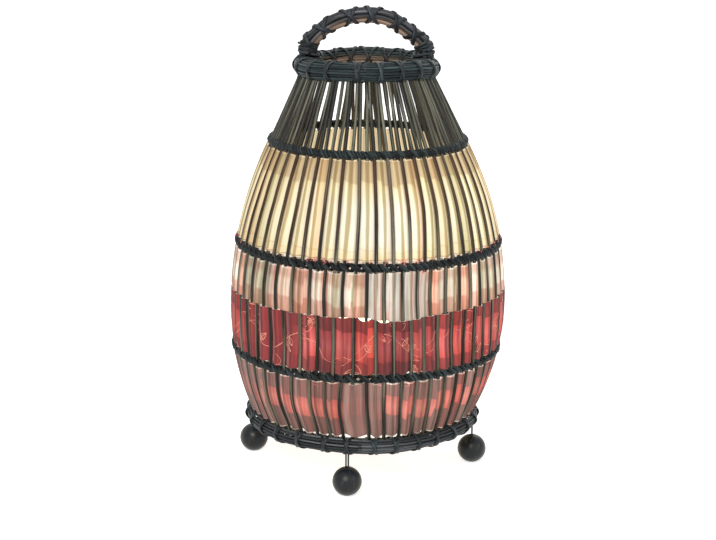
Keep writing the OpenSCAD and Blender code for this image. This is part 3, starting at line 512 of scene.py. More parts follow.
red_cloth = cloth_material("red cloth", [
    (110, (148, 62, 58)), (123, (156, 62, 58)), (124, (206, 86, 80)), (136, (218, 106, 99)), (148.4, (204, 84, 80)),
    (149.2, (146, 56, 52)), (160, (156, 62, 58))], srgb(255, 218, 204), srgb(172, 164, 182), srgb(150, 56, 58), srgb(255, 232, 214),
    srgb(146, 124, 112), .65, .44, .44, .42, .75, .565)
mauve_cloth = cloth_material("mauve cloth", [
    (50, (250, 232, 216)), (52.2, (250, 232, 216)), (52.8, (138, 106, 96)), (70.3, (146, 110, 100)), (71.5, (220, 130, 118)), (80, (234, 146, 130)),
    (88, (214, 128, 116)), (89, (156, 114, 104)), (102.1, (154, 118, 108)), (102.7, (250, 232, 218)), (103.6, (255, 244, 234))], srgb(240, 200, 194), srgb(190, 188, 176),
    srgb(154, 120, 110), srgb(255, 232, 214), srgb(150, 136, 124), .6, .38, .38, .32, .7, .555, 9.0)

ball_paint = hard_material("ball paint", srgb(20, 27, 37), srgb(84, 86, 66), .36, wear=.7, depth=.0003, Specular_IOR_Level=.3,
                           Specular_Tint=srgb(255, 248, 222), Sheen_Weight=.4, Sheen_Roughness=.35, Sheen_Tint=srgb(196, 188, 142))
dark_wire = hard_material("darkened wire", srgb(20, 21, 23), srgb(52, 48, 42), .4, wear=.4, Specular_IOR_Level=.25)
steel = hard_material("steel wire", srgb(120, 122, 124), srgb(84, 78, 72), .38, .9, wear=.4)
brass = hard_material("brass", srgb(186, 156, 92), srgb(128, 100, 60), .34, .95, wear=.4)
black_plastic = hard_material("black plastic", srgb(40, 41, 43), srgb(62, 62, 62), .5)
holder_plastic = hard_material("holder plastic", srgb(214, 210, 200), srgb(190, 182, 168), .45, wear=.2)
ceramic = hard_material("pressed insulator", srgb(222, 216, 202), srgb(200, 190, 172), .3, wear=.15)
bulb_metal = hard_material("bulb metal", srgb(196, 194, 188), srgb(150, 146, 138), .3, .95, wear=.25)
black_glass = hard_material("black glass", srgb(24, 24, 26), srgb(50, 50, 50), .15, wear=.1)
stitch_thread = cane_material("stitching thread", srgb(206, 122, 108), srgb(234, 178, 148), srgb(236, 190, 150), .5, .1, .0001)
frayed_thread = cane_material("frayed thread", srgb(200, 84, 88), srgb(238, 176, 160), srgb(232, 150, 140), .8, .1, .0001)
# the threads glow a little: painted lamp light
for thread, thread_glow in ((stitch_thread, srgb(226, 146, 124)), (frayed_thread, srgb(222, 120, 112))):
    surface = next(n for n in thread.node_tree.nodes if n.type == "BSDF_PRINCIPLED")
    surface.inputs["Emission Color"].default_value = thread_glow
    surface.inputs["Emission Strength"].default_value = .3
raw_cane = hard_material("raw cane", srgb(150, 112, 78), srgb(120, 84, 56), .6, wear=.4)


def make_lit_glass(name, colour, rough, glow, strength):
    material, net, surface = new_material(name)
    place = net.add("ShaderNodeTexCoord").outputs["Object"]
    z = net.add("ShaderNodeSeparateXYZ", {0: place}).outputs[2]
    cloud = net.noise(place, 60, 2)
    hot = net.math("MULTIPLY_ADD", cloud, .25, net.step(z, .097, .128, .35, .9))
    net.tree.links.new(net.scale_colour_input(colour, hot), surface.inputs["Emission Color"])
    surface.inputs["Base Color"].default_value = colour
    surface.inputs["Roughness"].default_value = rough
    surface.inputs["Transmission Weight"].default_value = .35
    surface.inputs["IOR"].default_value = 1.45
    surface.inputs["Emission Strength"].default_value = strength
    return material


def scale_colour_input(self, colour, value):
    grey = self.add("ShaderNodeCombineColor", {0: value, 1: value, 2: value}).outputs[0]
    return self.mix(1.0, colour, grey, "MULTIPLY")


Net.scale_colour_input = scale_colour_input
bulb_glass = make_lit_glass("bulb glass", srgb(255, 240, 212), .35, 1, 1.8)
stem_glass = make_lit_glass("stem glass", srgb(238, 234, 224), .1, 1, .3)
filament = hard_material("filament", srgb(255, 220, 160), srgb(255, 200, 120), .5, Emission_Color=srgb(255, 226, 170), Emission_Strength=2.0)


# ---------------------------------------------------------------- strands swept by Geometry Nodes
def make_sweep():
    """Sweeps an oval section along lines of points. Each point brings its own directions across
    and outward and its own size; the place on the strand is kept as grain."""
    tree = bpy.data.node_groups.new("sweep strands", "GeometryNodeTree")
    face = tree.interface
    face.new_socket(name="Lines", in_out="INPUT", socket_type="NodeSocketGeometry")
    for name, kind, value in (("Width", FLOAT, .003), ("Thickness", FLOAT, .003), ("Corners", "NodeSocketInt", 8),
                              ("Wobble", FLOAT, 0.0), ("Wobble Size", FLOAT, 40.0), ("Lumps", FLOAT, 0.0)):
        face.new_socket(name=name, in_out="INPUT", socket_type=kind).default_value = value
    face.new_socket(name="Material", in_out="INPUT", socket_type="NodeSocketMaterial")
    face.new_socket(name="Strands", in_out="OUTPUT", socket_type="NodeSocketGeometry")
    net = Net(tree)
    given = net.add("NodeGroupInput").outputs
    out = net.add("NodeGroupOutput")

    def named(name, kind="FLOAT_VECTOR"):
        return net.add("GeometryNodeInputNamedAttribute", {"Name": name}, data_type=kind).outputs["Attribute"]

    def store(geometry, name, value, kind="FLOAT_VECTOR"):
        node = net.add("GeometryNodeStoreNamedAttribute", {"Geometry": geometry, "Name": name, "Value": value}, data_type=kind, domain="POINT")
        return node.outputs["Geometry"]

    place = net.add("GeometryNodeInputPosition").outputs[0]
    apart = net.vector("ADD", net.vector("MULTIPLY", place, (1, 1, 1)), named("apart"))
    drift = net.add("ShaderNodeTexNoise", {"Vector": apart, "Scale": given["Wobble Size"], "Detail": 2.0}).outputs["Color"]
    drift = net.vector("SUBTRACT", drift, (.5, .5, .5))
    drift = net.add("ShaderNodeVectorMath", {0: drift, "Scale": given["Wobble"]}, operation="SCALE").outputs[0]
    lump = net.add("ShaderNodeTexNoise", {"Vector": apart, "Scale": 90.0, "Detail": 2.0}).outputs[0]
    lump = net.math("MULTIPLY_ADD", net.math("SUBTRACT", lump, .5), given["Lumps"], 1.0)
    lines = store(given["Lines"], "centre", net.vector("ADD", place, drift))
    lines = store(lines, "size", net.math("MULTIPLY", named("size", "FLOAT"), lump), "FLOAT")
    curve = net.add("GeometryNodeMeshToCurve", {"Mesh": lines}).outputs[0]
    ring = net.add("GeometryNodeCurvePrimitiveCircle", {"Resolution": given["Corners"], "Radius": 1.0}, mode="RADIUS").outputs["Curve"]
    ring = store(ring, "ring", net.add("GeometryNodeInputPosition").outputs[0])
    mesh = net.add("GeometryNodeCurveToMesh", {"Curve": curve, "Profile Curve": ring, "Fill Caps": True}).outputs[0]
    at = net.add("ShaderNodeSeparateXYZ", {0: named("ring")}).outputs
    size = named("size", "FLOAT")
    x = net.math("MULTIPLY", net.math("MULTIPLY", at[0], size), net.math("MULTIPLY", given["Width"], .5))
    y = net.math("MULTIPLY", net.math("MULTIPLY", at[1], size), net.math("MULTIPLY", given["Thickness"], .5))
    across = net.add("ShaderNodeVectorMath", {0: named("across"), "Scale": x}, operation="SCALE").outputs[0]
    outward = net.add("ShaderNodeVectorMath", {0: named("outward"), "Scale": y}, operation="SCALE").outputs[0]
    where = net.vector("ADD", named("centre"), net.vector("ADD", across, outward))
    mesh = net.add("GeometryNodeSetPosition", {"Geometry": mesh, "Position": where}).outputs[0]
    grain = net.add("ShaderNodeCombineXYZ", {0: at[0], 1: at[1], 2: named("along", "FLOAT")}).outputs[0]
    mesh = store(mesh, "grain", net.vector("ADD", grain, named("apart")))
    mesh = net.add("GeometryNodeSetShadeSmooth", {"Geometry": mesh}).outputs[0]
    mesh = net.add("GeometryNodeRealizeInstances", {"Geometry": mesh}).outputs[0]
    mesh = net.add("GeometryNodeSetMaterial", {"Geometry": mesh, "Material": given["Material"]}).outputs[0]
    tree.links.new(mesh, out.inputs[0])
    return tree


SWEEP = make_sweep()


def set_attribute(mesh, name, kind, values):
    attribute = mesh.attributes.get(name) or mesh.attributes.new(name, kind, "POINT")
    key = "vector" if kind == "FLOAT_VECTOR" else "value"
    attribute.data.foreach_set(key, np.ascontiguousarray(values, np.float32).ravel())


def finished(name, mesh, body="root"):
    obj = bpy.data.objects.new(name, mesh)
    bpy.context.scene.collection.objects.link(obj)
    return obj


def strands(name, lines, width, thickness, corners, material, wobble=0.0, wobble_size=40.0, lumps=0.0, paint=None):
    """lines: (points, outward hints, closed, sizes) of each strand, in millimetres."""
    co, across, outward, along, apart, sizes, edges = [], [], [], [], [], [], []
    r = np.random.default_rng(abs(hash_name(name)))
    start = 0
    for points, hint, closed, size in lines:
        p = np.asarray(points, float) * MM
        n = len(p)
        ahead = np.roll(p, -1, 0) - np.roll(p, 1, 0)
        if not closed:
            ahead[0] = p[1] - p[0]
            ahead[-1] = p[-1] - p[-2]
        ahead /= np.linalg.norm(ahead, axis=1)[:, None]
        h = np.broadcast_to(np.asarray(hint, float), p.shape)
        o = h - ahead * (h * ahead).sum(1)[:, None]
        o /= np.linalg.norm(o, axis=1)[:, None]
        co.append(p)
        outward.append(o)
        across.append(np.cross(ahead, o))
        along.append(np.concatenate([[0], np.cumsum(np.linalg.norm(np.diff(p, axis=0), axis=1))]))
        apart.append(np.broadcast_to(r.uniform(-40, 40, 3), p.shape))
        sizes.append(np.broadcast_to(size, n))
        edges += [(start + i, start + i + 1) for i in range(n - 1)] + ([(start + n - 1, start)] if closed else [])
        start += n
    mesh = bpy.data.meshes.new(name)
    mesh.from_pydata(np.concatenate(co).tolist(), edges, [])
    for key, rows in (("across", across), ("outward", outward), ("apart", apart)):
        set_attribute(mesh, key, "FLOAT_VECTOR", np.concatenate(rows))
    for key, rows in (("along", along), ("size", sizes)):
        set_attribute(mesh, key, "FLOAT", np.concatenate(rows))
    source = bpy.data.objects.new(name + "_lines", mesh)
    bpy.context.scene.collection.objects.link(source)
    modifier = source.modifiers.new("sweep", "NODES")
    modifier.node_group = SWEEP
    ids = {s.name: s.identifier for s in SWEEP.interface.items_tree if s.in_out == "INPUT"}
    for key, value in {"Width": width * MM, "Thickness": thickness * MM, "Corners": corners, "Wobble": wobble * MM,
                       "Wobble Size": float(wobble_size), "Lumps": float(lumps), "Material": material}.items():
        modifier[ids[key]] = value
    bpy.context.view_layer.update()
    shape = bpy.data.meshes.new_from_object(source.evaluated_get(bpy.context.evaluated_depsgraph_get()))
    bpy.data.objects.remove(source)
    shape.name = name
    b = bmesh.new()
    b.from_mesh(shape)
    bmesh.ops.recalc_face_normals(b, faces=b.faces)
    b.to_mesh(shape)
    b.free()
    for key in ("across", "outward", "centre", "ring", "apart", "size", "along"):
        if key in shape.attributes:
            shape.attributes.remove(shape.attributes[key])
    points = np.empty(len(shape.vertices) * 3, np.float32)
    shape.vertices.foreach_get("co", points)
    points = points.reshape(-1, 3)
    normals = np.empty(len(shape.vertices) * 3, np.float32)
    shape.vertices.foreach_get("normal", normals)
    normals = normals.reshape(-1, 3)
    set_attribute(shape, "paint", "FLOAT", np.ones(len(points)) if paint is None else np.clip(paint(points, normals), 0, 1))
    return finished(name, shape)


def hash_name(name):
    return sum((i + 1) * ord(c) for i, c in enumerate(name))


def facing_out(points, normals):
    """How far a face looks away from the lamp's axis, 0 to 1."""
    away = points[:, :2] / np.maximum(np.linalg.norm(points[:, :2], axis=1), 1e-6)[:, None]
    return .5 + .5 * (normals[:, :2] * away).sum(1)


def put(obj, slot, *nodes):
    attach(obj, "root")
    if nodes:
        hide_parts(*nodes)
    return obj


# ---------------------------------------------------------------- the canes
def cane_lines(parity):
    z = np.concatenate([np.linspace(40.5, 56, 7)[:-1], np.linspace(56, 345, 66)[:-1], np.linspace(345, 353.2, 4)])
    lines = []
    for k, row in zip(KS, FINE_TURN):
        if k % 2 != parity:
            continue
        p, normal, _ = cage_point(z, ripple(z, .12, (1, 2, 3), int(k) + 900, 330), np.interp(z, FINE_Z, row))
        lines.append((p, normal, False, 1 + rng.normal(0, .035)))
    return lines


def cane_paint(points, normals):
    z = points[:, 2] / MM
    # the dip near z 262 thins the stain in front of the cream cloth so pale edges show: painted glow of the lit cloth
    # behind
    return facing_out(points, normals) * 1.25 - .37 - .1 * np.exp(-((z - 262) / 22) ** 2)


canes_first = put(strands("canes_first_set", cane_lines(0), CANE_D, CANE_D, 10, cane, .5, 30, .22, cane_paint), "cane_dark", "canes_a")
canes_second = put(strands("canes_second_set", cane_lines(1), CANE_D, CANE_D, 10, cane, .5, 30, .22, cane_paint), "cane_dark", "canes_b")


# ---------------------------------------------------------------- the woven cloth
CLOTH_ROOM = CANE_D / 2 + CLOTH_T / 2 + .22


def by_cane(size, seed):
    """A random value at each cane, with straight lines between."""
    v = np.random.default_rng(seed).normal(0, size, 96)
    return lambda t: np.interp((np.asarray(t, float) + 48) % 96 - 48, np.arange(-48, 49), [*v, v[0]])


def cloth_out(t, z, side, seed):
    """How far out of the canes' middle line a strip lies."""
    wave = -side * np.cos(np.pi * np.asarray(t, float)) * CLOTH_ROOM
    wave = wave + np.maximum(wave, 0) / CLOTH_ROOM * by_cane(.22, seed + 1)(t)
    return wave + ripple(t + z * .07, .07, (7, 11, 19, 31), seed + 3, 96)


def hang(turn):
    """How far the doubled end of the pink strip hangs over the red one."""
    return 2.8 * np.clip((turn - 1) / 4, 0, 1) * np.clip((27 - turn) / 10, 0, 1)


def peep(turn):
    """The place where the bulb shows between the pink strip and the red one."""
    return 2.2 * np.exp(-((turn + 1.4) / 2.1) ** 4)


def cloth_strip(name, low, high, side, material, slot, node, seed, doubled=None, cut=None):
    """A strip of cloth that passes behind the canes of one set and in front of the others. doubled
    gives how much of the doubled colour a place has, and cut how much its two edges go down."""
    per, rows = 8, int(round((high - low) / 2.6))
    cols = CANES * per
    t = np.arange(cols) / per - 48
    hidden = np.abs(t % 2 - (1 if side > 0 else 0))
    hidden = np.minimum(hidden, 2 - hidden)
    low_edge = low + by_cane(.4, seed + 5)(t) + .35 * (1 - hidden)
    high_edge = high + by_cane(.4, seed + 6)(t) - .2 * (1 - hidden)
    if cut:
        down = cut(turn_at(t, CLOTH_JOIN))
        low_edge, high_edge = low_edge - down[0], high_edge - down[1]
    r = np.random.default_rng(seed + 9)
    bay = (np.floor(t / 2) if side > 0 else np.floor((t + 1) / 2)).astype(int) + 60
    half = np.floor(t).astype(int) + 60
    tone = .6 * r.random(130)[bay] + .4 * r.random(130)[half]
    hue = .45 * r.random(130)[bay] + .55 * r.random(130)[half]
    hue = np.clip((hue - .5) * 1.35 + .5, 0, 1)
    places, nears, wefts, bays = [], [], [], []
    for i in range(rows + 1):
        z = low_edge + (high_edge - low_edge) * i / rows
        middle = low + (high - low) * i / rows
        turn = turn_at(t, middle)
        places.append((z, cloth_out(t, middle, side, seed), turn))
        mm = float(cage_radius(middle)) * math.radians(STEP)
        nears.append(np.stack([hidden * mm, (1 - hidden) * mm, turn * 0], -1))
        wefts.append(np.stack([t * .0072, z * MM, bay * 3.3], -1))
        twice = doubled(turn, z) if doubled else np.zeros(cols)
        # painted lamp light, brightest at the front right, added to each bay's random tone
        lit = .35 * np.cos(np.radians(turn)) + .42 * np.sin(np.radians(turn)) - .15
        bays.append(np.stack([tone + lit, hue, twice], -1))
    outer = [cage_point(z, w + CLOTH_T / 2, turn)[0] for z, w, turn in places]
    inner = [cage_point(z, w - CLOTH_T / 2, turn)[0] for z, w, turn in places]
    co = np.concatenate([np.concatenate(outer), np.concatenate(inner)]) * MM
    n = (rows + 1) * cols
    a = (np.arange(rows)[:, None] * cols + np.arange(cols)[None, :])
    b = (np.arange(rows)[:, None] * cols + (np.arange(cols)[None, :] + 1) % cols)
    quads = [np.stack([a, b, b + cols, a + cols], -1).reshape(-1, 4), np.stack([a + n, a + cols + n, b + cols + n, b + n], -1).reshape(-1, 4)]
    lo_a, lo_b = np.arange(cols), (np.arange(cols) + 1) % cols
    hi_a, hi_b = lo_a + rows * cols, lo_b + rows * cols
    quads += [np.stack([lo_a, lo_a + n, lo_b + n, lo_b], -1), np.stack([hi_a, hi_b, hi_b + n, hi_a + n], -1)]
    mesh = bpy.data.meshes.new(name)
    mesh.from_pydata(co.tolist(), [], np.concatenate(quads).tolist())
    mesh.polygons.foreach_set("use_smooth", np.ones(len(mesh.polygons), bool))
    outside = np.concatenate(nears)
    set_attribute(mesh, "near", "FLOAT_VECTOR", np.concatenate([outside, outside + [0, 0, 1]]))
    set_attribute(mesh, "weft", "FLOAT_VECTOR", np.concatenate([np.concatenate(wefts)] * 2))
    set_attribute(mesh, "bay", "FLOAT_VECTOR", np.concatenate([np.concatenate(bays)] * 2))
    mesh.materials.append(material)
    obj = put(finished(name, mesh), slot, node)
    return obj


cloth_strip("cream_cloth_strip", 205.1, 283.4, 1, cream_cloth, "cloth_cream", "cream_strip", 11,
            lambda turn, z: .55 * np.exp(-((turn - 4) / 20) ** 2) * np.clip((262 - z) / 16, 0, 1) * np.clip((z - 207) / 14, 0, 1))
cloth_strip("pink_cloth_strip", 160.0, 196.3, -1, pink_cloth, "cloth_pink", "pink_strip", 12,
            lambda turn, z: .8 * np.clip((turn + 1.3) / .6, 0, 1) * np.clip((24 - turn) / .6, 0, 1), lambda turn: (hang(turn), 0 * turn))
cloth_strip("red_cloth_strip", 111.6, 159.5, 1, red_cloth, "cloth_red", "red_strip", 13,
            lambda turn, z: np.clip((turn + 75) / 26, 0, 1) * np.clip((-27 - turn) / 5, 0, 1), lambda turn: (0 * turn, .9 * hang(turn) + peep(turn)))
cloth_strip("mauve_cloth_strip", 52.0, 103.6, -1, mauve_cloth, "cloth_mauve", "mauve_strip", 14,
            lambda turn, z: np.maximum(.85 * np.clip((turn + 9.8) / .6, 0, 1) * np.clip((8.3 - turn) / .6, 0, 1),
                                       .7 * np.clip((turn + 95) / 10, 0, 1) * np.clip((-46 - turn) / 8, 0, 1)))


# ---------------------------------------------------------------- stitched scrolls and loose threads
def on_red_cloth(x, z):
    """A line on the red strip: x along it in millimetres from the front, z the height."""
    x, z = np.asarray(x, float), np.asarray(z, float)
    turn = np.degrees(x / 117.0)
    t = np.interp(turn, cane_turns(135), KS)
    p, normal, _ = cage_point(z, cloth_out(t, z, 1, 13) + CLOTH_T / 2 + .1, turn)
    return p, normal


def scroll_stitches():
    """A long waving stem with curled tendrils, leaves and fans of short stitches, worked along the strip."""
    r = np.random.default_rng(33)
    lines = []

    def stitch(x, z, size=1.0):
        turn = np.degrees(np.asarray(x, float) / 117.0)
        p, normal = on_red_cloth(x, np.clip(z, 112.8, 158.2 - hang(turn) - peep(turn)))
        lines.append((p, normal, False, size))

    def curl(cx, cz, reach, start, turns, size=1.0):
        a = np.linspace(0, 2 * np.pi * turns, 36)
        shrink = reach * (1 - .6 * np.linspace(0, 1, 36))
        stitch(cx + shrink * np.cos(a + start), cz + shrink * np.sin(a + start), size)

    def leaf(x, z, way, length, wide):
        q = np.linspace(0, 1, 12)
        for bend in (-1, 1, 0):
            side = bend * wide * np.sin(np.pi * q)
            stitch(x + length * q * np.cos(way) - side * np.sin(way), z + length * q * np.sin(way) + side * np.cos(way), .9)

    def fan(x, z, way, size):
        for j in range(7):
            a = way + (j - 3) * .24
            q = np.linspace(.3, 1, 6)
            stitch(x + size * q * np.cos(a), z + size * q * np.sin(a), 1.05)

    def stem(x):
        return 134 + 11.5 * np.sin(x / 366 * 2 * np.pi * 5.5 + .6) + 4 * np.sin(x / 23.0)

    x = np.linspace(-362, 362, 560)
    for part in np.array_split(x, 14):
        stitch(part, stem(part))
    for i, x0 in enumerate(np.arange(-350, 350, 33.0)):
        x0 = x0 + r.normal(0, 5)
        side = 1 if i % 2 else -1
        z0 = float(stem(x0))
        curl(x0 + 6, z0 + side * 10, 8.5 + r.normal(0, 1), -side * 1.4, side * r.uniform(.9, 1.2))
        if i % 3 == 0:
            fan(x0 + 7, z0 + side * 11, r.uniform(0, 6.2), 7.5)
        else:
            leaf(x0 + 17, float(stem(x0 + 17)), side * r.uniform(.6, 1.2), r.uniform(8, 12), 2.2)
        leaf(x0 - 8, float(stem(x0 - 8)), -side * r.uniform(.7, 1.4), r.uniform(7, 10), 1.8)
        q = np.linspace(0, 1, 20)
        stitch(x0 + 22 * q, z0 - side * (7 + 10 * q ** 2 - 6 * np.sin(np.pi * q)), .85)
    return put(strands("scroll_stitches", lines, .5, .25, 5, stitch_thread, .15, 300, .4), "cloth_red")


def loose_threads():
    """Frayed ends under the cream strip's hem, and a few over the lower band."""
    r = np.random.default_rng(57)
    lines = []
    for z0, count, side, seed in ((205.6, 70, 1, 11), (196.0, 26, -1, 12), (103.0, 40, -1, 14)):
        tufts = [r.normal(-24, 4, count // 4), r.normal(16, 7, count // 3)] if z0 > 200 else []
        for turn in np.concatenate([r.uniform(-180, 180, count), *tufts]):
            t = np.interp(turn, cane_turns(z0), KS)
            if side * np.cos(np.pi * t) > .25:
                continue
            q = np.linspace(0, 1, 7)
            z = z0 + r.uniform(-1.6, 2.2) - 2.6 * q * r.uniform(.4, 1.2)
            angle = turn + r.uniform(-1.3, 1.3) * q + .35 * np.sin(5 * q + turn)
            out = cloth_out(np.interp(angle, cane_turns(z0), KS), z0, side, seed) + CLOTH_T / 2 + .25 + .5 * np.sin(np.pi * q)
            p, normal, _ = cage_point(z, out, angle)
            lines.append((p, normal, False, r.uniform(.7, 1.2)))
    return put(strands("loose_threads", lines, .55, .4, 5, frayed_thread, .2, 300, .2), "cloth_red")


scroll_stitches()
loose_threads()


# ---------------------------------------------------------------- the twined bands
def band_skein(name, z, phase, node):
    """One of two skeins that twist round each other with the canes between them; its
    stitches fall from upper left to lower right on the outside."""
    per = 10
    t = np.arange(CANES * per) / per - 48
    a = np.pi * (t - phase)
    room, rise = CANE_D / 2 + 1.0, 2.45
    out, up = room * np.cos(a), -rise * (np.sin(a) - .13 * np.sin(3 * a))
    p, normal, along = cage_point(z, out + ripple(t, .1, (5, 9, 14, 23), hash_name(name), 96), turn_at(t, z))
    p = p + along * (up + ripple(t, .22, (3, 4, 7), hash_name(name) + 1, 96))[:, None]
    hint = normal * np.cos(a)[:, None] - along * np.sin(a)[:, None]
    size = .95 + .07 * np.cos(2 * a) + ripple(t, .06, (13, 29, 41), hash_name(name) + 2, 96)
    if z == UPPER_BAND:
        size = size + .45 * np.exp(-((turn_at(t, z) + 10.8) / 1.8) ** 2)
    ahead = np.roll(p, -1, 0) - np.roll(p, 1, 0)
    side = np.cross(ahead, hint)
    side /= np.linalg.norm(side, axis=1)[:, None]
    strips = [(p + side * place, hint + side * place * .25, True, size) for place in (-1.08, 1.08)]
    return put(strands(name, strips, 2.5, 2.2, 8, band_cane, .3, 200, .25), "band_dark", node)


for part, height in (("upper", UPPER_BAND), ("middle", MIDDLE_BAND), ("lower", LOWER_BAND)):
    for number in (1, 2):
        band_skein(f"{part}_band_weaver_{number}", height, number - 1, f"{part}_band_skein_{number}")


# ---------------------------------------------------------------- the rims
def rim_point(rim_r, rim_z, turn, angle, off, seed):
    """A point off the middle of a rim's bundle, and the direction out of the bundle there."""
    away = radial(turn)
    up = np.array([0.0, 0, 1])
    a = np.radians(angle)[..., None]
    out = away * np.cos(a) + up * np.sin(a)
    droop = (1.6 if rim_z > 200 else 0) * np.sin(np.radians(turn)) ** 2
    middle = away * (rim_r + ripple(turn, .25, (2, 3, 5), seed, 360))[..., None] + up * (rim_z - droop + ripple(turn, .25, (3, 5), seed + 1, 360))[..., None]
    p = middle + out * np.asarray(off)[..., None]
    p[..., 0] += lean(rim_z)
    return p, out


def rim_strands(name, rim_r, rim_z, bundle, d, spans, seed, *nodes):
    lines = []
    ring = bundle - d / 2
    apart = math.degrees(2 * math.asin((d / 2 + .01) / ring))
    for low, high in spans:
        n = int((high - low) / apart)
        for i in range(n + 1):
            s = seed + len(lines) * 7
            turn = np.arange(0, 360, 2.25)
            angle = low + (high - low) * i / n + ripple(turn, 1.6, (1, 2, 3, 5), s, 360)
            off = ring + ripple(turn, .16, (3, 4, 7, 11), s + 1, 360)
            p, out = rim_point(rim_r, rim_z, turn, angle, off, seed)
            lines.append((p, out, True, 1 + np.random.default_rng(s).normal(0, .05)))

    def paint(points, normals):
        away = np.linalg.norm(points[:, :2], axis=1) / MM - rim_r
        return .86 + away / bundle * .47 + (points[:, 2] / MM - rim_z) / bundle * .3

    material = rim_cane if rim_z > 200 else foot_cane
    return put(strands(name, lines, d, d, 8, material, .35, 60, .3, paint), "rim_dark", *nodes)


rim_strands("top_rim_bundle", TOP_RIM_R, TOP_Z, TOP_BUNDLE, TOP_STRAND, [(-54.9, 261.4)], 200, "top_rim_strands", "top_rim_ridges")
rim_strands("bottom_rim_bundle", BOTTOM_RIM_R, BOTTOM_Z, BOTTOM_BUNDLE, BOTTOM_STRAND,
            [(-37, 68), (114, 188.6), (234.7, 278.6)], 300, "bottom_rim_strands", "bottom_rim_ridges")


def crossings(seen, apart):
    """Angles of all crossings around a rim: those given and the rest evenly spaced."""
    rest = 360 - (seen[-1] - seen[0])
    n = round(rest / apart)
    return [*seen, *(seen[-1] + rest * (i + 1) / n for i in range(n - 1)), seen[0] + 360]


def rim_lashing(name, rim_r, rim_z, bundle, cross, way, seed, node):
    per = 28
    q = np.arange(per) / per
    share = q - .1 * np.sin(2 * np.pi * q) + .01 * np.sin(4 * np.pi * q)
    turn = np.concatenate([a + (b - a) * share for a, b in zip(cross, cross[1:])])
    angle = np.tile(360 * q * way, len(cross) - 1)
    tight = bundle + .42 + ripple(turn - cross[0], .1, (5, 9, 16), seed, 360)
    over = 0 if way > 0 else .85
    fold = np.abs((angle + 90) % 180 - 90)
    off = tight + over * np.exp(-(fold / 28) ** 2)
    p, out = rim_point(rim_r, rim_z, turn, angle, off, 200 if rim_z > 200 else 300)
    size = 1 + ripple(turn - cross[0], .06, (7, 13, 27), seed + 5, 360)

    def paint(points, normals):
        return .85 + (np.linalg.norm(points[:, :2], axis=1) / MM - rim_r) / bundle * .3

    return put(strands(name, [(p, out, True, size)], 2.9, 1.15, 8, lashing_cane, .4, 90, .2, paint), "lashing_dark", node)


top_cross = crossings([-52, -33, -7, 11.5, 28.7, 47], 20)
bottom_cross = crossings([-46, -32.4, -18.4, -7.4, 6, 16.5, 28.2, 38.6, 51], 12.5)
rim_lashing("top_rim_lashing_1", TOP_RIM_R, TOP_Z, TOP_BUNDLE, top_cross, 1, 41, "top_lashing_under")
rim_lashing("top_rim_lashing_2", TOP_RIM_R, TOP_Z, TOP_BUNDLE, top_cross, -1, 42, "top_lashing_over")
rim_lashing("bottom_rim_lashing_1", BOTTOM_RIM_R, BOTTOM_Z, BOTTOM_BUNDLE, bottom_cross, 1, 43, "bottom_lashing_under")
rim_lashing("bottom_rim_lashing_2", BOTTOM_RIM_R, BOTTOM_Z, BOTTOM_BUNDLE, bottom_cross, -1, 44, "bottom_lashing_over")


# ---------------------------------------------------------------- the handle
HOOP_R, HOOP_Z = TOP_RIM_R - 3.0, TOP_Z + 3.1
SHOULDER_R, CROWN_HALF = 17.0, 50.0
SHOULDER_Z = TOP_Z + TOP_BUNDLE + .48
CROWN_R = (HOOP_R - SHOULDER_R) / math.sin(math.radians(CROWN_HALF)) + SHOULDER_R
CROWN_Z = SHOULDER_Z - (CROWN_R - SHOULDER_R) * math.cos(math.radians(CROWN_HALF))
LEG, SHOULDER_LEN, CROWN_LEN = SHOULDER_Z - HOOP_Z, SHOULDER_R * math.radians(90 - CROWN_HALF), CROWN_R * math.radians(2 * CROWN_HALF)
HANDLE_LEN = 2 * (LEG + SHOULDER_LEN) + CROWN_LEN
STRAND_RING, HANDLE_STRAND = 3.97, 3.4


def handle_at(s):
    """The handle's middle line at a length s from its left foot, and its outward direction."""
    s = np.asarray(s, float)
    left = np.minimum(s, HANDLE_LEN - s)
    mirror = np.where(s <= HANDLE_LEN / 2, 1.0, -1.0)
    a = np.where(left < LEG, 180, np.where(left < LEG + SHOULDER_LEN, 180 - np.degrees((left - LEG) / SHOULDER_R),
                 90 + CROWN_HALF - np.degrees((left - LEG - SHOULDER_LEN) / CROWN_R)))
    c, d = np.cos(np.radians(a)), np.sin(np.radians(a))
    x = np.where(left < LEG, -HOOP_R, np.where(left < LEG + SHOULDER_LEN, SHOULDER_R - HOOP_R + SHOULDER_R * c, CROWN_R * c))
    z = np.where(left < LEG, HOOP_Z + left, np.where(left < LEG + SHOULDER_LEN, SHOULDER_Z + SHOULDER_R * d, CROWN_Z + CROWN_R * d))
    zero = np.zeros_like(x)
    pull = 3.2 * np.exp(-((HANDLE_LEN - s - 34) / 15) ** 2)
    shift = .7 - 3.4 * np.exp(-(left / 9) ** 2)
    return np.stack([(x + shift * c) * mirror + lean(TOP_Z) - pull, zero, z + shift * d], -1), np.stack([c * mirror, zero, d], -1)


def stoutness(s):
    """How much wider than deep the handle is, most at its bound feet."""
    left = np.minimum(s, HANDLE_LEN - s)
    return 1.24 + .3 * np.exp(-(left / 9) ** 2) + ripple(np.asarray(s) / HANDLE_LEN, .05, (5, 9, 14), 577)


def handle_point(s, angle, off):
    middle, out = handle_at(s)
    a = np.radians(np.asarray(angle, float))[..., None]
    way = out * np.cos(a) * stoutness(s)[..., None] + np.array([0.0, 1, 0]) * np.sin(a)
    return middle + way * np.asarray(off)[..., None], way


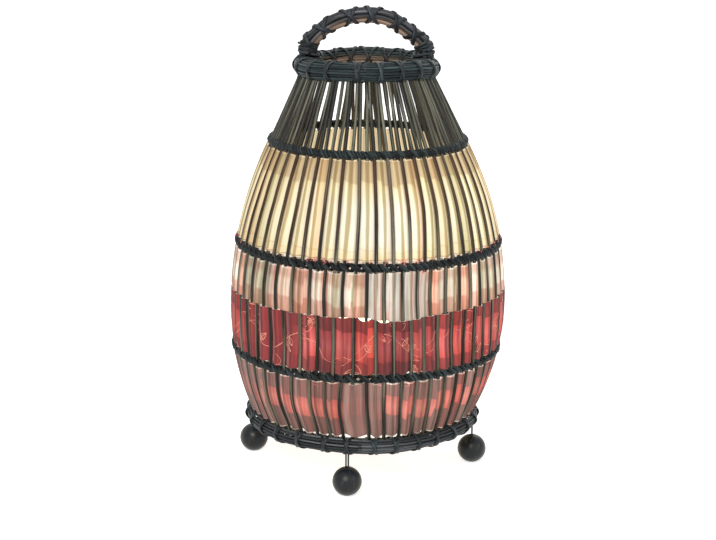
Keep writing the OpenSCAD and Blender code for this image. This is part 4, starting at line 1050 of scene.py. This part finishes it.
def handle_paint(points, normals):
    s = np.linspace(0, HANDLE_LEN, 400)
    middle, out = handle_at(s)
    near = np.abs(points[:, None, 0] / MM - middle[None, :, 0]) + np.abs(points[:, None, 2] / MM - middle[None, :, 2])
    i = near.argmin(1)
    inside = ((points / MM - middle[i]) * out[i]).sum(1)
    return .62 + inside / 5.5 * .42


def handle_strands():
    lines = []
    for i in range(9):
        s = np.linspace(4.6, HANDLE_LEN - 4.6, 90)
        share = s / HANDLE_LEN
        angle = 40 * i + 20 + ripple(share, 2.5, (1, 2, 3), 500 + i) + 6 * (share - .5)
        off = STRAND_RING + ripple(share, .18, (2, 4, 5, 7), 520 + i)
        p, out = handle_point(s, angle, np.broadcast_to(off, s.shape))
        lines.append((p, out, False, 1 + np.random.default_rng(540 + i).normal(0, .04)))
    return put(strands("handle_bundle", lines, HANDLE_STRAND, HANDLE_STRAND, 10, handle_cane, .4, 60, .25, handle_paint), "rim_dark", "handle_strands")


handle_strands()


def handle_lashing(name, way, node):
    """Crosses the other lashing at the front of the handle and behind it."""
    wide = np.linspace(0, HANDLE_LEN, 2000)
    x = handle_at(wide)[0][:, 0]
    cross = [float(np.interp(v, x[200:1800], wide[200:1800])) for v in (-49, -35.9, -12.3, 5.3, 26.3, 41.1)]
    cross = [cross[0] - 7, *cross[:], cross[-1] + 16]
    per = 24
    q = np.arange(per) / per
    share = q + .035 * np.sin(4 * np.pi * q)
    s = np.concatenate([a + (b - a) * share for a, b in zip(cross, cross[1:])])
    turn = np.tile(360 * q * way, len(cross) - 1)
    fold = np.abs((turn + 90) % 180 - 90)
    off = 5.47 + .4 + (0 if way > 0 else .8) * np.exp(-(fold / 28) ** 2)
    p, out = handle_point(s, turn - 90, off)
    return put(strands(name, [(p, out, False, 1 + ripple(s / HANDLE_LEN, .12, (9, 17, 31), 590 + way))], 3.6, 1.1, 8, handle_wrap, .5, 90, .25), "lashing_dark", node)


def loose_lashing_ends():
    """Cut ends of the wrapping that stick out at the handle's left foot and at the right one, one that
    hangs from the top rim, and the turns that bind the handle's feet."""
    lines = []
    for side, a, b in ((-1, (-47.5, -2.5, 363.0), (-58.2, -4.2, 369.8)), (-1, (-46.5, -3.5, 361.5), (-58.6, -3.0, 357.6)),
                       (-1, (-48.5, 2.0, 362.0), (-57.4, 4.4, 360.2)), (1, (48.0, -3.0, 362.5), (57.6, -4.5, 361.4)),
                       (-1, (-56.0, -14.0, 344.5), (-60.0, -16.0, 331.0))):
        q = np.linspace(0, 1, 9)[:, None]
        p = np.array(a) * (1 - q) + np.array(b) * q + np.array([0, 0, 1.2]) * np.sin(np.pi * q)
        p[:, 0] += lean(TOP_Z)
        lines.append((p, np.array([0, -1.0, .3]), False, np.linspace(1.05, .7, 9)))
    for start, way in ((LEG - 5, 1), (HANDLE_LEN - LEG + 5, -1)):
        q = np.linspace(0, 1, 90)
        p, out = handle_point(start + way * (17 * q + .8 * np.sin(q * 40)), 360 * 5.2 * q + 20, 5.5 + .5 + .25 * np.sin(q * 23))
        lines.append((p, out, False, 1 + .12 * np.sin(q * 31)))
    return put(strands("loose_lashing_ends", lines, 2.6, 1.3, 8, lashing_cane, .4, 90, .2), "lashing_dark")


loose_lashing_ends()
handle_lashing("handle_lashing_1", 1, "handle_lashing_under")
handle_lashing("handle_lashing_2", -1, "handle_lashing_over")


# ---------------------------------------------------------------- carried-over pieces
FINISHES = {
    ball_paint: ["foot_ball_front", "foot_ball_right", "foot_ball_back", "foot_ball_left"],
    steel: ["top_frame"],
    dark_wire: ["base_frame"],
    raw_cane: ["top_rim_core"],
    brass: ["nipple", "nut_below", "nut_above", "thread_sleeve", "centre_contact", "terminal_screws"],
    black_plastic: ["cord_bush"],
    holder_plastic: ["holder_cap", "holder_shell"],
    ceramic: ["holder_core"],
    bulb_metal: ["bulb_cap", "bulb_contact", "bulb_leads"],
    black_glass: ["bulb_insulator"],
    bulb_glass: ["bulb_glass"],
    stem_glass: ["bulb_stem"],
    filament: ["bulb_filament"],
}
for material, names in FINISHES.items():
    for name in names:
        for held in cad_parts[name].material_slots:
            held.material = material


# ---------------------------------------------------------------- floor and light
def add_floor():
    mesh = bpy.data.meshes.new("floor")
    mesh.from_pydata([(-6, -6, 0), (6, -6, 0), (6, 6, 0), (-6, 6, 0)], [], [(0, 1, 2, 3)])
    material, net, surface = new_material("floor")
    place = net.add("ShaderNodeTexCoord").outputs["Object"]
    far = net.add("ShaderNodeVectorMath", {0: place}, operation="LENGTH").outputs["Value"]
    path = net.add("ShaderNodeLightPath").outputs
    seen = net.math("MAXIMUM", path["Is Camera Ray"], net.math("MAXIMUM", path["Is Glossy Ray"], path["Is Transmission Ray"]))
    lift = net.math("MULTIPLY", seen, net.step(far, .2, 1.1, .66, 1.0))
    net.tree.links.new(lift, surface.inputs["Emission Strength"])
    surface.inputs["Emission Color"].default_value = (1, 1, 1, 1)
    surface.inputs["Base Color"].default_value = (.9, .9, .9, 1)
    surface.inputs["Roughness"].default_value = .9
    mesh.materials.append(material)
    finished("floor", mesh)


def add_world():
    world = bpy.data.worlds.new("world")
    bpy.context.scene.world = world
    world.use_nodes = True
    net = Net(world.node_tree)
    back = next(n for n in world.node_tree.nodes if n.type == "BACKGROUND")
    path = net.add("ShaderNodeLightPath").outputs
    seen = net.math("MAXIMUM", path["Is Camera Ray"], net.math("MAXIMUM", path["Is Glossy Ray"], path["Is Transmission Ray"]))
    net.tree.links.new(net.math("MULTIPLY_ADD", seen, .76, .24), back.inputs["Strength"])
    back.inputs["Color"].default_value = (1, 1, 1, 1)


def add_light(name, place, size, power):
    light = bpy.data.lights.new(name, "AREA")
    light.shape = "SQUARE"
    light.size = size
    light.energy = power
    obj = bpy.data.objects.new(name, light)
    bpy.context.scene.collection.objects.link(obj)
    obj.location = place
    obj.rotation_euler = (Vector((0, 0, .18)) - Vector(place)).to_track_quat("-Z", "Y").to_euler()


add_floor()
add_world()
add_light("key", (-.45, -1.75, 1.35), .5, 28)
add_light("fill", (1.6, -1.2, .8), 1.4, 7)
add_light("top", (0, .3, 1.9), 1.2, 9)
add_light("back", (.4, 1.7, 1.1), 1.2, 8)
bpy.context.scene.view_settings.view_transform = "Standard"
